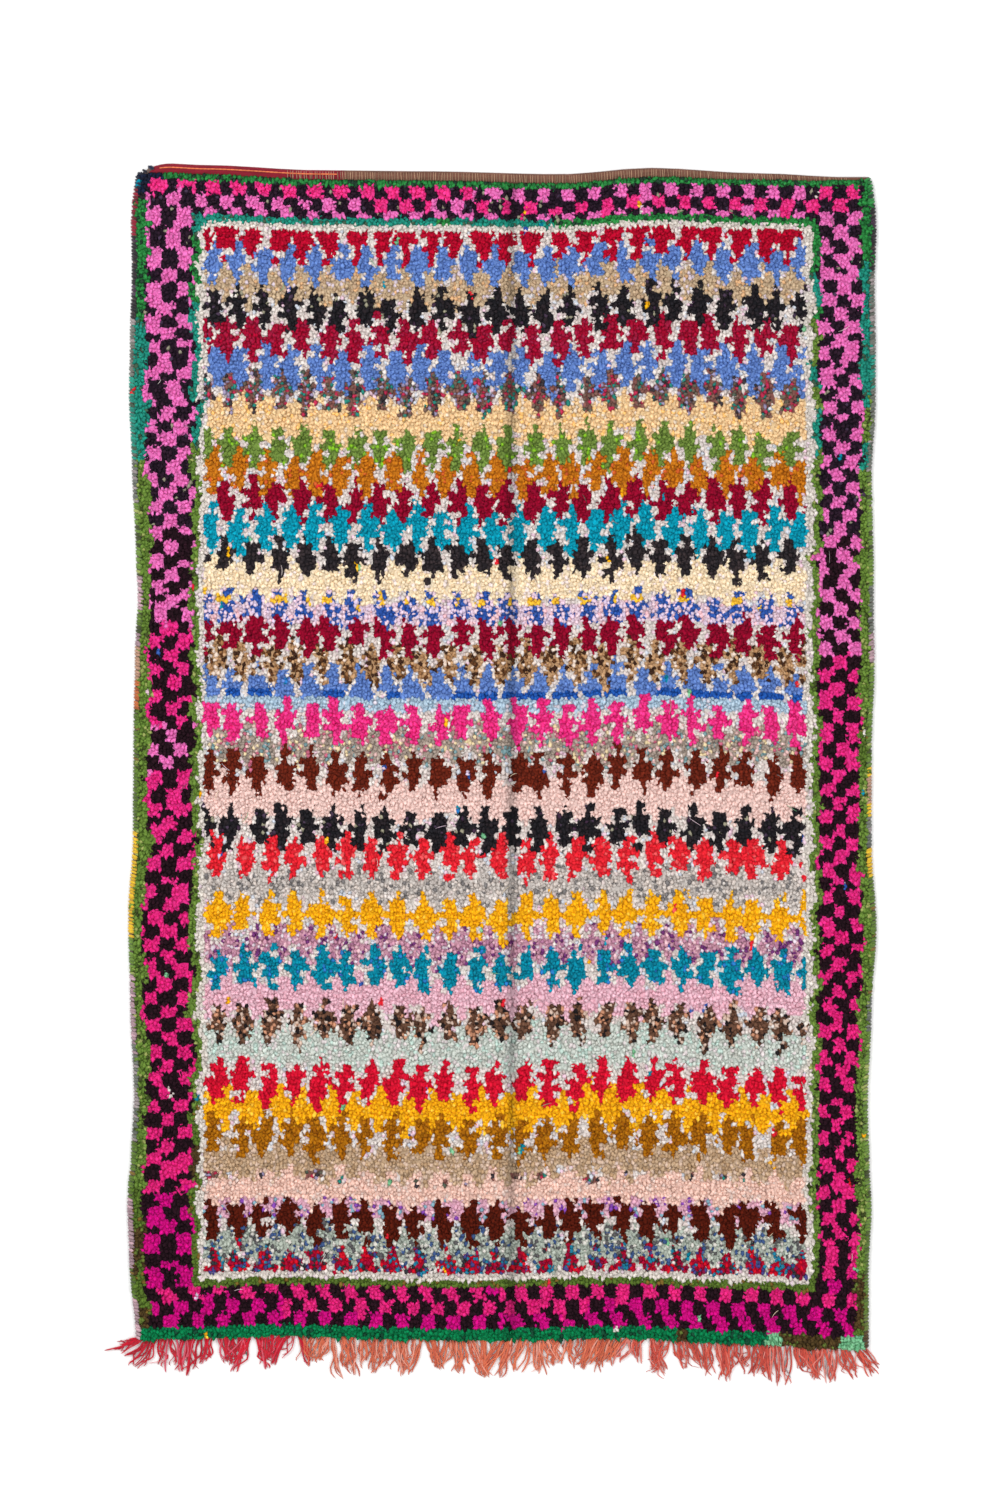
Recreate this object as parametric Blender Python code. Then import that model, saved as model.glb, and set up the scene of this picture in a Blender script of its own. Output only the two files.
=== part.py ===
"""Boucherouite rug, lying flat on a floor with its pile up.

A hand-knotted rag rug: a knotted body (woven ground and pile in one slab), a flat-woven
band across its top end, an overcast selvedge down each side, and a fringe of warp ends
along its bottom end. Metres, +Z up, +Y towards the top end, floor at Z = 0.
"""

import math
from collections import namedtuple

import bmesh
import bpy
import numpy as np

# ---- driving dimensions ----------------------------------------------------------------
BODY_LENGTH = 2.375            # top end to bottom end, along the middle, without fringe
GAP = 0.0003                   # clearance between pieces that touch

PILE_TOP = 0.017               # ground and pile together
PILE_SHOULDER = 0.011          # height of the pile where it rolls over at an edge
SHOULDER_WIDTH = 0.009
PILE_UNEVENNESS = 0.0012       # slow rise and fall of the pile over the floor

CREASE_X = 0.026               # the old fold runs the whole length, just right of middle
CREASE_WIDTH = 0.012
CREASE_DEPTH = 0.005
CREASE_SHOULDER = 0.0015       # pile pushed up on both sides of the fold
CREASE_SHOULDER_OFFSET = 0.035

SELVEDGE_WIDTH = 0.011
SELVEDGE_HEIGHT = 0.010

BAND_DEPTH = 0.021             # flat-woven band across the top end
BAND_HEIGHT = 0.008

FRINGE_HEADING = 0.007         # strip of plain weave that the warp ends hang from
FRINGE_HEIGHT = 0.005
FRINGE_LENGTH = 0.068
BUNCH_COUNT = 62
BUNCH_SWAY = 0.008
LEFT_SPLAY = 0.060             # how far the last bunches lean out past each side
RIGHT_SPLAY = 0.045
CORNER_REACH = 0.065           # width over which that lean fades away

BODY_COLUMNS = 34
BODY_ROWS = 56
SEED = 11

# How full the end band stands between its edge at the body (0) and the top end (1).
BAND_PROFILE = {0.0: 0.7, 0.3: 1.0, 0.7: 1.0, 1.0: 0.8}

# Section of a selvedge: share of its width in from the outer edge, share of its height.
SectionPoint = namedtuple("SectionPoint", "inward lift")
SELVEDGE_SECTION = [
    SectionPoint(0.00, 0.00),
    SectionPoint(0.00, 0.55),
    SectionPoint(0.25, 0.92),
    SectionPoint(0.60, 1.00),
    SectionPoint(1.00, 0.60),
    SectionPoint(1.00, 0.00),
]

# Plan of one fringe bunch: share of its length, of its lean, and of the spacing it fills.
BunchStep = namedtuple("BunchStep", "down lean_share fill")
BUNCH_SHAPE = [
    BunchStep(0.0, 0.0, 0.72),
    BunchStep(0.5, 0.4, 0.51),
    BunchStep(1.0, 1.0, 0.30),
]

# The two long sides wander: half width to the left and right of the middle line.
SideStation = namedtuple("SideStation", "from_top left right")
SIDE_STATIONS = [
    SideStation(0.000, 0.734, 0.751),
    SideStation(0.020, 0.747, 0.753),
    SideStation(0.098, 0.756, 0.760),
    SideStation(0.220, 0.754, 0.756),
    SideStation(0.342, 0.758, 0.758),
    SideStation(0.464, 0.760, 0.758),
    SideStation(0.606, 0.754, 0.750),
    SideStation(0.789, 0.746, 0.754),
    SideStation(0.870, 0.742, 0.754),
    SideStation(0.992, 0.748, 0.756),
    SideStation(1.155, 0.751, 0.750),
    SideStation(1.358, 0.752, 0.750),
    SideStation(1.521, 0.762, 0.760),
    SideStation(1.683, 0.758, 0.750),
    SideStation(1.887, 0.750, 0.742),
    SideStation(2.009, 0.756, 0.746),
    SideStation(2.090, 0.764, 0.750),
    SideStation(2.212, 0.760, 0.744),
    SideStation(2.375, 0.746, 0.744),
]

# The two short ends are not quite straight: each rises or drops along the width.
EndStation = namedtuple("EndStation", "across offset")
TOP_END = [
    EndStation(-0.75, 0.008),
    EndStation(-0.70, 0.017),
    EndStation(-0.61, 0.013),
    EndStation(-0.37, 0.002),
    EndStation(-0.16, 0.000),
    EndStation(0.12, -0.006),
    EndStation(0.30, 0.007),
    EndStation(0.52, -0.004),
    EndStation(0.70, -0.012),
    EndStation(0.75, -0.012),
]
BOTTOM_END = [
    EndStation(-0.75, 0.000),
    EndStation(-0.45, 0.008),
    EndStation(-0.07, -0.002),
    EndStation(0.23, 0.004),
    EndStation(0.50, -0.008),
    EndStation(0.71, -0.020),
    EndStation(0.75, -0.020),
]

Finish = namedtuple("Finish", "color roughness")
FINISHES = {
    "rug": Finish((0.55, 0.10, 0.20), 0.95),
    "end_band": Finish((0.19, 0.06, 0.04), 0.90),
    "selvedge_left": Finish((0.45, 0.25, 0.35), 0.90),
    "selvedge_right": Finish((0.35, 0.22, 0.30), 0.90),
    "fringe": Finish((0.75, 0.17, 0.12), 0.85),
}


# ---- outline of the rug ----------------------------------------------------------------
def ease_between(position, places, values):
    """Value at a position, eased smoothly from one station to the next."""
    if position <= places[0]:
        return values[0]
    for start, end, low, high in zip(places, places[1:], values, values[1:]):
        if position <= end:
            share = (position - start) / (end - start)
            return low + (high - low) * share * share * (3 - 2 * share)
    return values[-1]


def side_x(y, side):
    """X of the outer long edge at height y; side is -1 for left, +1 for right."""
    places = [station.from_top for station in SIDE_STATIONS]
    if side < 0:
        values = [station.left for station in SIDE_STATIONS]
    else:
        values = [station.right for station in SIDE_STATIONS]
    return side * ease_between(-y, places, values)


def end_offset(x, stations):
    """How far a short end lies above or below its own middle at x."""
    places = [station.across for station in stations]
    values = [station.offset for station in stations]
    return ease_between(x, places, values)


def outline_point(across, level, margin):
    """Point on a crosswise row of the rug, at a level below the top end's middle.

    across runs from 0 at the left to 1 at the right, between the two long sides, each
    taken in by the margin. Rows bend with the two short ends.
    """
    left = side_x(level, -1) + margin
    right = side_x(level, 1) - margin
    x = left + (right - left) * across
    from_bottom = 1 + level / BODY_LENGTH
    bend = end_offset(x, TOP_END) * from_bottom + end_offset(x, BOTTOM_END) * (1 - from_bottom)
    return x, level + bend


def pile_height(x, y):
    """Height of the pile surface: slow unevenness, with the fold's trough down the middle."""
    slow = math.sin(7.1 * x + 1.3) * math.sin(4.3 * y) + 0.6 * math.sin(13.0 * x - 9.0 * y)
    from_crease = x - CREASE_X
    trough = CREASE_DEPTH * math.exp(-((from_crease / CREASE_WIDTH) ** 2))
    beside = abs(from_crease) - CREASE_SHOULDER_OFFSET
    shoulder = CREASE_SHOULDER * math.exp(-((beside / CREASE_WIDTH) ** 2))
    return PILE_TOP + PILE_UNEVENNESS * slow - trough + shoulder


# ---- meshes ----------------------------------------------------------------------------
def new_object(name, mesh):
    """Put a finished bmesh in the scene as a named object with its own material."""
    bmesh.ops.recalc_face_normals(mesh, faces=mesh.faces)
    data = bpy.data.meshes.new(name)
    mesh.to_mesh(data)
    mesh.free()
    finish = FINISHES[name]
    material = bpy.data.materials.new(name)
    material.use_nodes = True
    shader = material.node_tree.nodes["Principled BSDF"]
    shader.inputs["Base Color"].default_value = (*finish.color, 1.0)
    shader.inputs["Roughness"].default_value = finish.roughness
    shader.inputs["Metallic"].default_value = 0.0
    data.materials.append(material)
    piece = bpy.data.objects.new(name, data)
    bpy.context.scene.collection.objects.link(piece)
    return piece


def join_rings(mesh, first, second, closed):
    """Bridge two rows of vertices with quads."""
    count = len(first) if closed else len(first) - 1
    for index in range(count):
        after = (index + 1) % len(first)
        mesh.faces.new((first[index], first[after], second[after], second[index]))


def grid_slab(name, columns, levels, margin, height):
    """Closed slab with a flat underside: a grid on top, straight walls, one flat base."""
    mesh = bmesh.new()
    grid = []
    for level in levels:
        line = []
        for across in columns:
            x, y = outline_point(across, level, margin)
            line.append(mesh.verts.new((x, y, height(x, y, across, level))))
        grid.append(line)
    for low, high in zip(grid, grid[1:]):
        join_rings(mesh, low, high, closed=False)
    rim = list(grid[0])
    rim += [line[-1] for line in grid[1:]]
    rim += list(reversed(grid[-1]))[1:]
    rim += [line[0] for line in reversed(grid[1:-1])]
    foot = [mesh.verts.new((corner.co.x, corner.co.y, 0.0)) for corner in rim]
    join_rings(mesh, rim, foot, closed=True)
    mesh.faces.new(foot)
    return new_object(name, mesh)


def steps_with_shoulders(start, end, count, shoulder):
    """Even steps from start to end, with one narrow step at each for the rolled edge."""
    inset = math.copysign(shoulder, end - start)
    return [start, *np.linspace(start + inset, end - inset, count - 1), end]


def body_columns():
    """Columns across the body, with extra ones where the fold's trough is."""
    left = side_x(-BODY_LENGTH / 2, -1)
    span = side_x(-BODY_LENGTH / 2, 1) - left
    offsets = (-2.0, -1.0, 0.0, 1.0, 2.0)
    crease = [(CREASE_X + offset * CREASE_WIDTH - left) / span for offset in offsets]
    even = steps_with_shoulders(0.0, 1.0, BODY_COLUMNS - len(crease), SHOULDER_WIDTH / span)
    clear = 1.2 * CREASE_WIDTH / span
    kept = [step for step in even if min(abs(step - place) for place in crease) > clear]
    return sorted(kept + crease)


def body_levels():
    """Levels of the body's rows, from the bottom end to the band."""
    return steps_with_shoulders(-BODY_LENGTH, -BAND_DEPTH - GAP, BODY_ROWS, SHOULDER_WIDTH)


def band_levels():
    """Levels of the end band's rows, from the body to the top end."""
    return [-BAND_DEPTH * (1 - share) for share in BAND_PROFILE]


def make_body():
    """Knotted body: ground and pile, rolled over at its edges."""
    levels = body_levels()
    ends = (levels[0], levels[-1])

    def height(x, y, across, level):
        if across in (0.0, 1.0) or level in ends:
            return PILE_SHOULDER
        return pile_height(x, y)

    return grid_slab("rug", body_columns(), levels, SELVEDGE_WIDTH + GAP, height)


def make_end_band():
    """Flat-woven band that finishes the top end, between the two selvedges."""
    shares = list(BAND_PROFILE)
    lifts = list(BAND_PROFILE.values())

    def height(x, y, across, level):
        return BAND_HEIGHT * float(np.interp(1 + level / BAND_DEPTH, shares, lifts))

    margin = SELVEDGE_WIDTH + GAP
    return grid_slab("end_band", body_columns(), band_levels(), margin, height)


def make_selvedge(name, side):
    """Overcast edge: a flat-bottomed cord that follows one long side from end to end."""
    across = 0.0 if side < 0 else 1.0
    mesh = bmesh.new()
    rings = []
    for level in body_levels() + band_levels():
        ring = []
        for point in SELVEDGE_SECTION:
            x, y = outline_point(across, level, point.inward * SELVEDGE_WIDTH)
            ring.append(mesh.verts.new((x, y, point.lift * SELVEDGE_HEIGHT)))
        rings.append(ring)
    for low_ring, high_ring in zip(rings, rings[1:]):
        join_rings(mesh, low_ring, high_ring, closed=True)
    mesh.faces.new(rings[0])
    mesh.faces.new(rings[-1])
    return new_object(name, mesh)


def body_bottom_edge():
    """Bottom edge of the body and selvedges as a line from left to right."""
    corners = [outline_point(0.0, -BODY_LENGTH, 0.0)]
    for across in body_columns():
        corners.append(outline_point(across, -BODY_LENGTH, SELVEDGE_WIDTH + GAP))
    corners.append(outline_point(1.0, -BODY_LENGTH, 0.0))
    return corners


def corner_splay(root, left, right):
    """Sideways lean of the bunches near the two corners, outwards and soon fading."""
    near_left = math.exp(-(((root - left) / CORNER_REACH) ** 2))
    near_right = math.exp(-(((right - root) / CORNER_REACH) ** 2))
    return RIGHT_SPLAY * near_right - LEFT_SPLAY * near_left


def make_fringe():
    """Warp ends as one comb: a heading along the bottom end, with tapering bunches."""
    draw = np.random.default_rng(SEED)
    edge_x, edge_y = zip(*body_bottom_edge())
    spacing = (edge_x[-1] - edge_x[0]) / BUNCH_COUNT
    mesh = bmesh.new()
    last_root = None
    last_upper = None
    for index in range(BUNCH_COUNT):
        root = edge_x[0] + spacing * (index + 0.5)
        splay = corner_splay(root, edge_x[0], edge_x[-1])
        length = FRINGE_LENGTH * draw.uniform(0.80, 1.20) - 0.5 * abs(splay)
        lean = splay + BUNCH_SWAY * draw.uniform(-0.5, 0.5)
        level = float(np.interp(root, edge_x, edge_y)) - FRINGE_HEADING
        rungs = []
        for step in BUNCH_SHAPE:
            y = level - length * step.down
            middle = root + lean * step.lean_share
            half = spacing * step.fill / 2
            rungs.append([mesh.verts.new((middle + side * half, y, 0.0)) for side in (-1, 1)])
        half = spacing * BUNCH_SHAPE[0].fill / 2
        upper = []
        for x in (root - half, root + half):
            y = float(np.interp(x, edge_x, edge_y)) - GAP
            upper.append(mesh.verts.new((x, y, 0.0)))
        join_rings(mesh, upper, rungs[0], closed=False)
        for high, low in zip(rungs, rungs[1:]):
            join_rings(mesh, high, low, closed=False)
        if last_root:
            mesh.faces.new((last_root, rungs[0][0], upper[0], last_upper))
        last_root = rungs[0][1]
        last_upper = upper[1]
    lifted = bmesh.ops.extrude_face_region(mesh, geom=mesh.faces[:], use_keep_orig=True)
    corners = [item for item in lifted["geom"] if isinstance(item, bmesh.types.BMVert)]
    bmesh.ops.translate(mesh, verts=corners, vec=(0.0, 0.0, FRINGE_HEIGHT))
    return new_object("fringe", mesh)


def centre_on_origin(pieces):
    """Move every mesh so that the middle of the whole rug's outline is at the origin."""
    corners = [vertex.co for piece in pieces for vertex in piece.data.vertices]
    middle_x = (min(c.x for c in corners) + max(c.x for c in corners)) / 2
    middle_y = (min(c.y for c in corners) + max(c.y for c in corners)) / 2
    for piece in pieces:
        for vertex in piece.data.vertices:
            vertex.co.x -= middle_x
            vertex.co.y -= middle_y
        piece.data.update()


for old in list(bpy.data.objects):
    bpy.data.objects.remove(old, do_unlink=True)

centre_on_origin([
    make_body(),
    make_end_band(),
    make_selvedge("selvedge_left", -1),
    make_selvedge("selvedge_right", 1),
    make_fringe(),
])
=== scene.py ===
import math
from collections import namedtuple

import bpy
import numpy as np
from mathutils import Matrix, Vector


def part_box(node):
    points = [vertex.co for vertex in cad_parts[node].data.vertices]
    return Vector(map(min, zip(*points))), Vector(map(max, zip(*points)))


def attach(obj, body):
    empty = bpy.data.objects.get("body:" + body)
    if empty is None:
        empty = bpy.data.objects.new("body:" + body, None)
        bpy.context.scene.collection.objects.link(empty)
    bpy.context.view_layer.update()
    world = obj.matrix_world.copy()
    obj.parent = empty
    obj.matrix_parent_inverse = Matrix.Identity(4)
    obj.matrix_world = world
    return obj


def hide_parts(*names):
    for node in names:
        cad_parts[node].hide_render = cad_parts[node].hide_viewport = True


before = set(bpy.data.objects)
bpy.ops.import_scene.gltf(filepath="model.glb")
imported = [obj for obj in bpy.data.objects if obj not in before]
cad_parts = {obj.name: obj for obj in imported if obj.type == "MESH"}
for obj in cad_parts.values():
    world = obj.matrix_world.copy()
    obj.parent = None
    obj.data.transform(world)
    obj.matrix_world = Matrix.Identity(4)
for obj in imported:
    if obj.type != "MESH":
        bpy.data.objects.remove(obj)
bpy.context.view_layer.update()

# ---- the knotted pile ------------------------------------------------------------------
# Thousands of symmetric knots of rag yarn and wool, tied in rows on the warps and cut to
# a soft pile that lies over towards the fringe. Each knot shows two yarn ends. The weaver
# worked by rows, so the pile is set out by rows and columns of knots, then tufted.

# The outline comes from the frame: the ridges of the two selvedges and the body's rim.
def corners_of(node):
    """Corners of a CAD node as an array of points."""
    return np.array([corner.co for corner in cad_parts[node].data.vertices])


def ridge_of(node):
    """Ridge line of a selvedge: its places along Y and its X at each of them."""
    corners = corners_of(node)
    ridge = corners[corners[:, 2] > corners[:, 2].max() - 0.0002]
    ridge = ridge[np.argsort(ridge[:, 1])]
    return ridge[:, 1], ridge[:, 0]


def body_end(side):
    """One short end of the knotted body: its places along X and its Y at each of them."""
    corners = corners_of("rug")
    rim = corners[(corners[:, 2] < 0.0005) & (np.abs(corners[:, 0]) < 0.70)]
    rim = rim[side * rim[:, 1] > 1.0]
    rim = rim[np.argsort(rim[:, 0])]
    return rim[:, 0], rim[:, 1]


RIDGE_TO_BODY = 0.0047         # from a selvedge's ridge in to the knotted body
RIDGE_TO_OUTSIDE = 0.0066      # from a selvedge's ridge out to the open edge
left_ridge = ridge_of("selvedge_left")
right_ridge = ridge_of("selvedge_right")
top_end = body_end(1)
bottom_end = body_end(-1)
# Towards the right corner the pile covers more and more of the end band. By X, how much:
PILE_OVER_BAND = {0.30: 0.0, 0.65: 0.009, 0.70: 0.015}
pile_over = np.interp(top_end[0], list(PILE_OVER_BAND), list(PILE_OVER_BAND.values()))
pile_end = (top_end[0], top_end[1] + pile_over)
body_top = float(np.median(top_end[1]))
body_bottom = float(np.median(bottom_end[1]))

STRAIGHT_LEFT = -0.739         # the borders' inner lines run straight, as if the body's sides
STRAIGHT_RIGHT = 0.758         # stood here; only the outermost knots follow the wavy sides
SIDE_SHARE = 0.075             # share of the width, on each side, that gives way
ROW_SLANT = 0.010              # rows climb by this much from the left side to the right,
SLANT_FADE = 0.04              # but settle along both ends over this share of the length
TOP_SHARE = 0.06               # rows over which the top end's line is made up
SAG = 0.008                    # rows near the top left corner hang by this much,
SAG_PLACE = 0.91               # most at this share of the length
SAG_LENGTH = 0.05
SAG_FADE = 1.6                 # and not at all beyond 1 / this share of the width


def place(across, along):
    """X and Y in the knotted body: across 0 left to 1 right, along 0 bottom to 1 top."""
    level = body_bottom + (body_top - body_bottom) * along
    left = np.interp(level, *left_ridge) + RIDGE_TO_BODY
    right = np.interp(level, *right_ridge) - RIDGE_TO_BODY
    x = STRAIGHT_LEFT + (STRAIGHT_RIGHT - STRAIGHT_LEFT) * across
    x = x + (left - STRAIGHT_LEFT) * np.clip(1 - across / SIDE_SHARE, 0, 1)
    x = x + (right - STRAIGHT_RIGHT) * np.clip(1 - (1 - across) / SIDE_SHARE, 0, 1)
    low = np.interp(x, *bottom_end)
    high = np.interp(x, *top_end)
    settle = np.clip(np.minimum(along, 1 - along) / SLANT_FADE, 0, 1)
    y = low + (high - low) * along + ROW_SLANT * (across - 0.5) * settle
    y = y + (np.interp(x, *pile_end) - high) * np.clip(1 - (1 - along) / TOP_SHARE, 0, 1)
    sag = SAG * np.exp(-(((along - SAG_PLACE) / SAG_LENGTH) ** 2))
    return x, y - sag * np.clip(1 - SAG_FADE * across, 0, 1) ** 0.5


# Knots are set out in zones that lie inside each other: guard, checks, guard, cream, field.
OUTER_GUARD, CHECKS, INNER_GUARD, CREAM, FIELD = range(5)
Run = namedtuple("Run", "zone knots pitch")
COLUMN_RUNS = [                # from the left side to the right
    Run(OUTER_GUARD, 4, 0.0050),
    Run(CHECKS, 12, 0.0080),
    Run(INNER_GUARD, 2, 0.0070),
    Run(CREAM, 2, 0.0050),
    Run(FIELD, 188, 0.0065),
    Run(CREAM, 2, 0.0072),
    Run(INNER_GUARD, 2, 0.0070),
    Run(CHECKS, 12, 0.0075),
    Run(OUTER_GUARD, 4, 0.0042),
]
ROW_RUNS = [                   # from the top end down
    Run(OUTER_GUARD, 1, 0.0105),
    Run(CHECKS, 5, 0.0128),
    Run(INNER_GUARD, 1, 0.0132),
    Run(CREAM, 1, 0.0120),
    Run(FIELD, 156, 0.01372),
    Run(CREAM, 1, 0.0140),
    Run(INNER_GUARD, 1, 0.0140),
    Run(CHECKS, 6, 0.0142),
    Run(OUTER_GUARD, 2, 0.0126),
]


def set_out(runs):
    """Zone of every knot along a set of runs, and its place and pitch as shares of 1."""
    zones = np.concatenate([np.full(run.knots, run.zone) for run in runs])
    pitches = np.concatenate([np.full(run.knots, run.pitch) for run in runs])
    pitches = pitches / pitches.sum()
    return zones, np.cumsum(pitches) - pitches / 2, pitches


column_zones, column_places, column_pitches = set_out(COLUMN_RUNS)
row_zones, row_places, row_pitches = set_out(ROW_RUNS)
ROWS = len(row_zones)
COLUMNS = len(column_zones)
FIRST_FIELD_ROW = int(np.argmax(row_zones == FIELD))
row, column = np.meshgrid(np.arange(ROWS), np.arange(COLUMNS), indexing="ij")
zone = np.minimum(row_zones[:, None], column_zones[None, :])
draw = np.random.default_rng(23)

# Every yarn: its lit colour, the shade its ends vary towards, and odd ends spun into it.
Yarn = namedtuple("Yarn", "main shade odd odd_share", defaults=((), 0.0))
YARNS = {
    "cream": Yarn((226, 218, 212), (206, 190, 186), ((222, 190, 205), (200, 205, 215)), 0.15),
    "ivory": Yarn((222, 215, 206), (204, 194, 186), ((214, 196, 204),), 0.10),
    "crimson": Yarn((190, 0, 44), (158, 2, 38)),
    "periwinkle": Yarn((106, 140, 206), (82, 112, 176)),
    "beige": Yarn((202, 178, 146), (176, 148, 120), ((214, 170, 126), (205, 190, 200)), 0.22),
    "black": Yarn((30, 29, 34), (42, 34, 38), ((72, 56, 76), (60, 40, 60), (150, 146, 124)), 0.08),
    "wine": Yarn((156, 0, 44), (126, 2, 38)),
    "rose wine": Yarn((164, 0, 44), (150, 26, 62)),
    "dusk": Yarn(
        (136, 86, 80), (80, 92, 78), ((182, 44, 78), (40, 128, 116), (56, 50, 56), (150, 140, 170)), 0.55
    ),
    "peach": Yarn((238, 206, 158), (230, 190, 142), ((244, 194, 118), (226, 208, 186)), 0.18),
    "grass": Yarn((118, 146, 66), (96, 118, 48), ((126, 182, 40),), 0.10),
    "ochre": Yarn((204, 124, 24), (176, 100, 12), ((200, 92, 40),), 0.10),
    "turquoise": Yarn((0, 158, 184), (0, 136, 160)),
    "charcoal": Yarn((38, 34, 38), (58, 48, 50)),
    "pale yellow": Yarn((246, 228, 198), (238, 212, 174), ((236, 220, 214),), 0.15),
    "gold": Yarn((246, 182, 18), (228, 158, 10), ((250, 200, 60),), 0.10),
    "cobalt": Yarn((44, 86, 170), (62, 94, 164), ((228, 200, 216), (214, 196, 220)), 0.52),
    "lilac pink": Yarn((232, 206, 216), (204, 186, 208), ((236, 190, 196),), 0.20),
    "leopard": Yarn(
        (196, 156, 116), (150, 106, 66), ((60, 36, 24), (92, 56, 30), (226, 206, 190)), 0.50
    ),
    "royal blue": Yarn((36, 92, 178), (24, 74, 156)),
    "light blue": Yarn((178, 200, 216), (158, 182, 202), ((214, 206, 216),), 0.15),
    "straw": Yarn((246, 198, 58), (228, 176, 50)),
    "hot pink": Yarn((240, 60, 144), (214, 26, 110)),
    "pastel": Yarn(
        (176, 160, 148), (146, 132, 122),
        ((222, 184, 180), (192, 100, 124), (120, 152, 156), (226, 206, 164)), 0.50
    ),
    "chestnut": Yarn((112, 36, 18), (90, 28, 14)),
    "salmon": Yarn((240, 208, 200), (228, 192, 184)),
    "coral": Yarn((232, 40, 54), (214, 28, 44), ((232, 84, 88),), 0.15),
    "heather": Yarn((206, 198, 192), (172, 162, 156), ((210, 198, 190), (120, 116, 116)), 0.35),
    "plum fleck": Yarn(
        (204, 152, 170), (166, 110, 142), ((222, 182, 190), (110, 50, 112), (214, 200, 210)), 0.45
    ),
    "teal blue": Yarn((0, 144, 170), (2, 118, 142), ((40, 120, 190),), 0.08),
    "pink": Yarn((234, 190, 204), (220, 166, 180)),
    "tortoise": Yarn(
        (112, 78, 60), (66, 42, 32), ((30, 25, 26), (196, 140, 110), (204, 178, 162)), 0.50
    ),
    "mint grey": Yarn((206, 214, 206), (190, 190, 182), ((188, 210, 200), (216, 206, 206)), 0.30),
    "red": Yarn((222, 18, 54), (190, 6, 38)),
    "bronze": Yarn((180, 114, 10), (142, 80, 0)),
    "oat": Yarn((198, 170, 140), (174, 142, 108), ((206, 180, 160),), 0.25),
    "shell": Yarn((242, 204, 190), (224, 184, 168), ((226, 202, 192),), 0.15),
    "lilac fleck": Yarn(
        (228, 176, 194), (204, 152, 176), ((226, 190, 200), (130, 70, 170), (130, 170, 186)), 0.40
    ),
    "dark brown": Yarn((92, 24, 6), (72, 16, 2)),
    "navy fleck": Yarn(
        (186, 194, 182), (146, 154, 144), ((60, 84, 130), (92, 90, 92), (208, 204, 196)), 0.45
    ),
    "party": Yarn(
        (184, 0, 44), (120, 10, 56), ((206, 8, 36), (70, 66, 130), (48, 50, 56), (30, 120, 150)), 0.60
    ),
    "bright green": Yarn((46, 138, 66), (32, 104, 52), ((34, 62, 46),), 0.16),
    "teal": Yarn((34, 148, 128), (28, 120, 106), ((64, 88, 70),), 0.12),
    "moss": Yarn((108, 140, 58), (84, 108, 40), ((150, 160, 90), (62, 72, 34)), 0.16),
    "olive": Yarn((92, 120, 44), (76, 96, 36), ((120, 96, 40),), 0.10),
    "bark": Yarn((84, 66, 34), (64, 46, 26), ((96, 112, 48),), 0.15),
    "emerald": Yarn((2, 132, 78), (2, 104, 62), ((18, 72, 50),), 0.10),
    "mint": Yarn((132, 196, 150), (96, 166, 120)),
    "orchid": Yarn((234, 118, 190), (216, 96, 168)),
    "fuchsia": Yarn((236, 50, 142), (208, 26, 112)),
    "cerise": Yarn((234, 42, 132), (204, 20, 108)),
    "magenta": Yarn((214, 6, 134), (184, 0, 116)),
    "wine black": Yarn((31, 12, 21), (42, 16, 28)),
    "plum black": Yarn((32, 19, 33), (46, 26, 42), ((140, 136, 116), (66, 50, 72)), 0.05),
    "navy": Yarn((22, 34, 62), (26, 26, 36)),
    "maroon": Yarn((142, 20, 46), (92, 14, 32)),
    "slate": Yarn((112, 116, 108), (86, 92, 84), ((150, 140, 140),), 0.20),
    "mauve": Yarn((172, 142, 150), (146, 120, 128), ((196, 160, 170),), 0.20),
    "sand": Yarn((186, 146, 122), (164, 128, 104)),
    "yellow": Yarn((224, 184, 40), (198, 158, 34)),
    "rust": Yarn((186, 104, 56), (158, 84, 44)),
    "salmon cord": Yarn((214, 112, 78), (184, 80, 56), ((220, 148, 128),), 0.20),
    "coral cord": Yarn((206, 84, 66), (172, 54, 46), ((216, 128, 116),), 0.20),
    "crimson cord": Yarn((202, 2, 40), (170, 4, 36), ((206, 84, 102),), 0.12),
}
YARN_NAMES = list(YARNS)


def yarn(name):
    return YARN_NAMES.index(name)


def linear(color):
    """A colour as seen on a screen, 0 to 255, as the light values that a shader takes."""
    share = np.asarray(color, float) / 255
    return np.where(share > 0.04045, ((share + 0.055) / 1.055) ** 2.4, share / 12.92)


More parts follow.
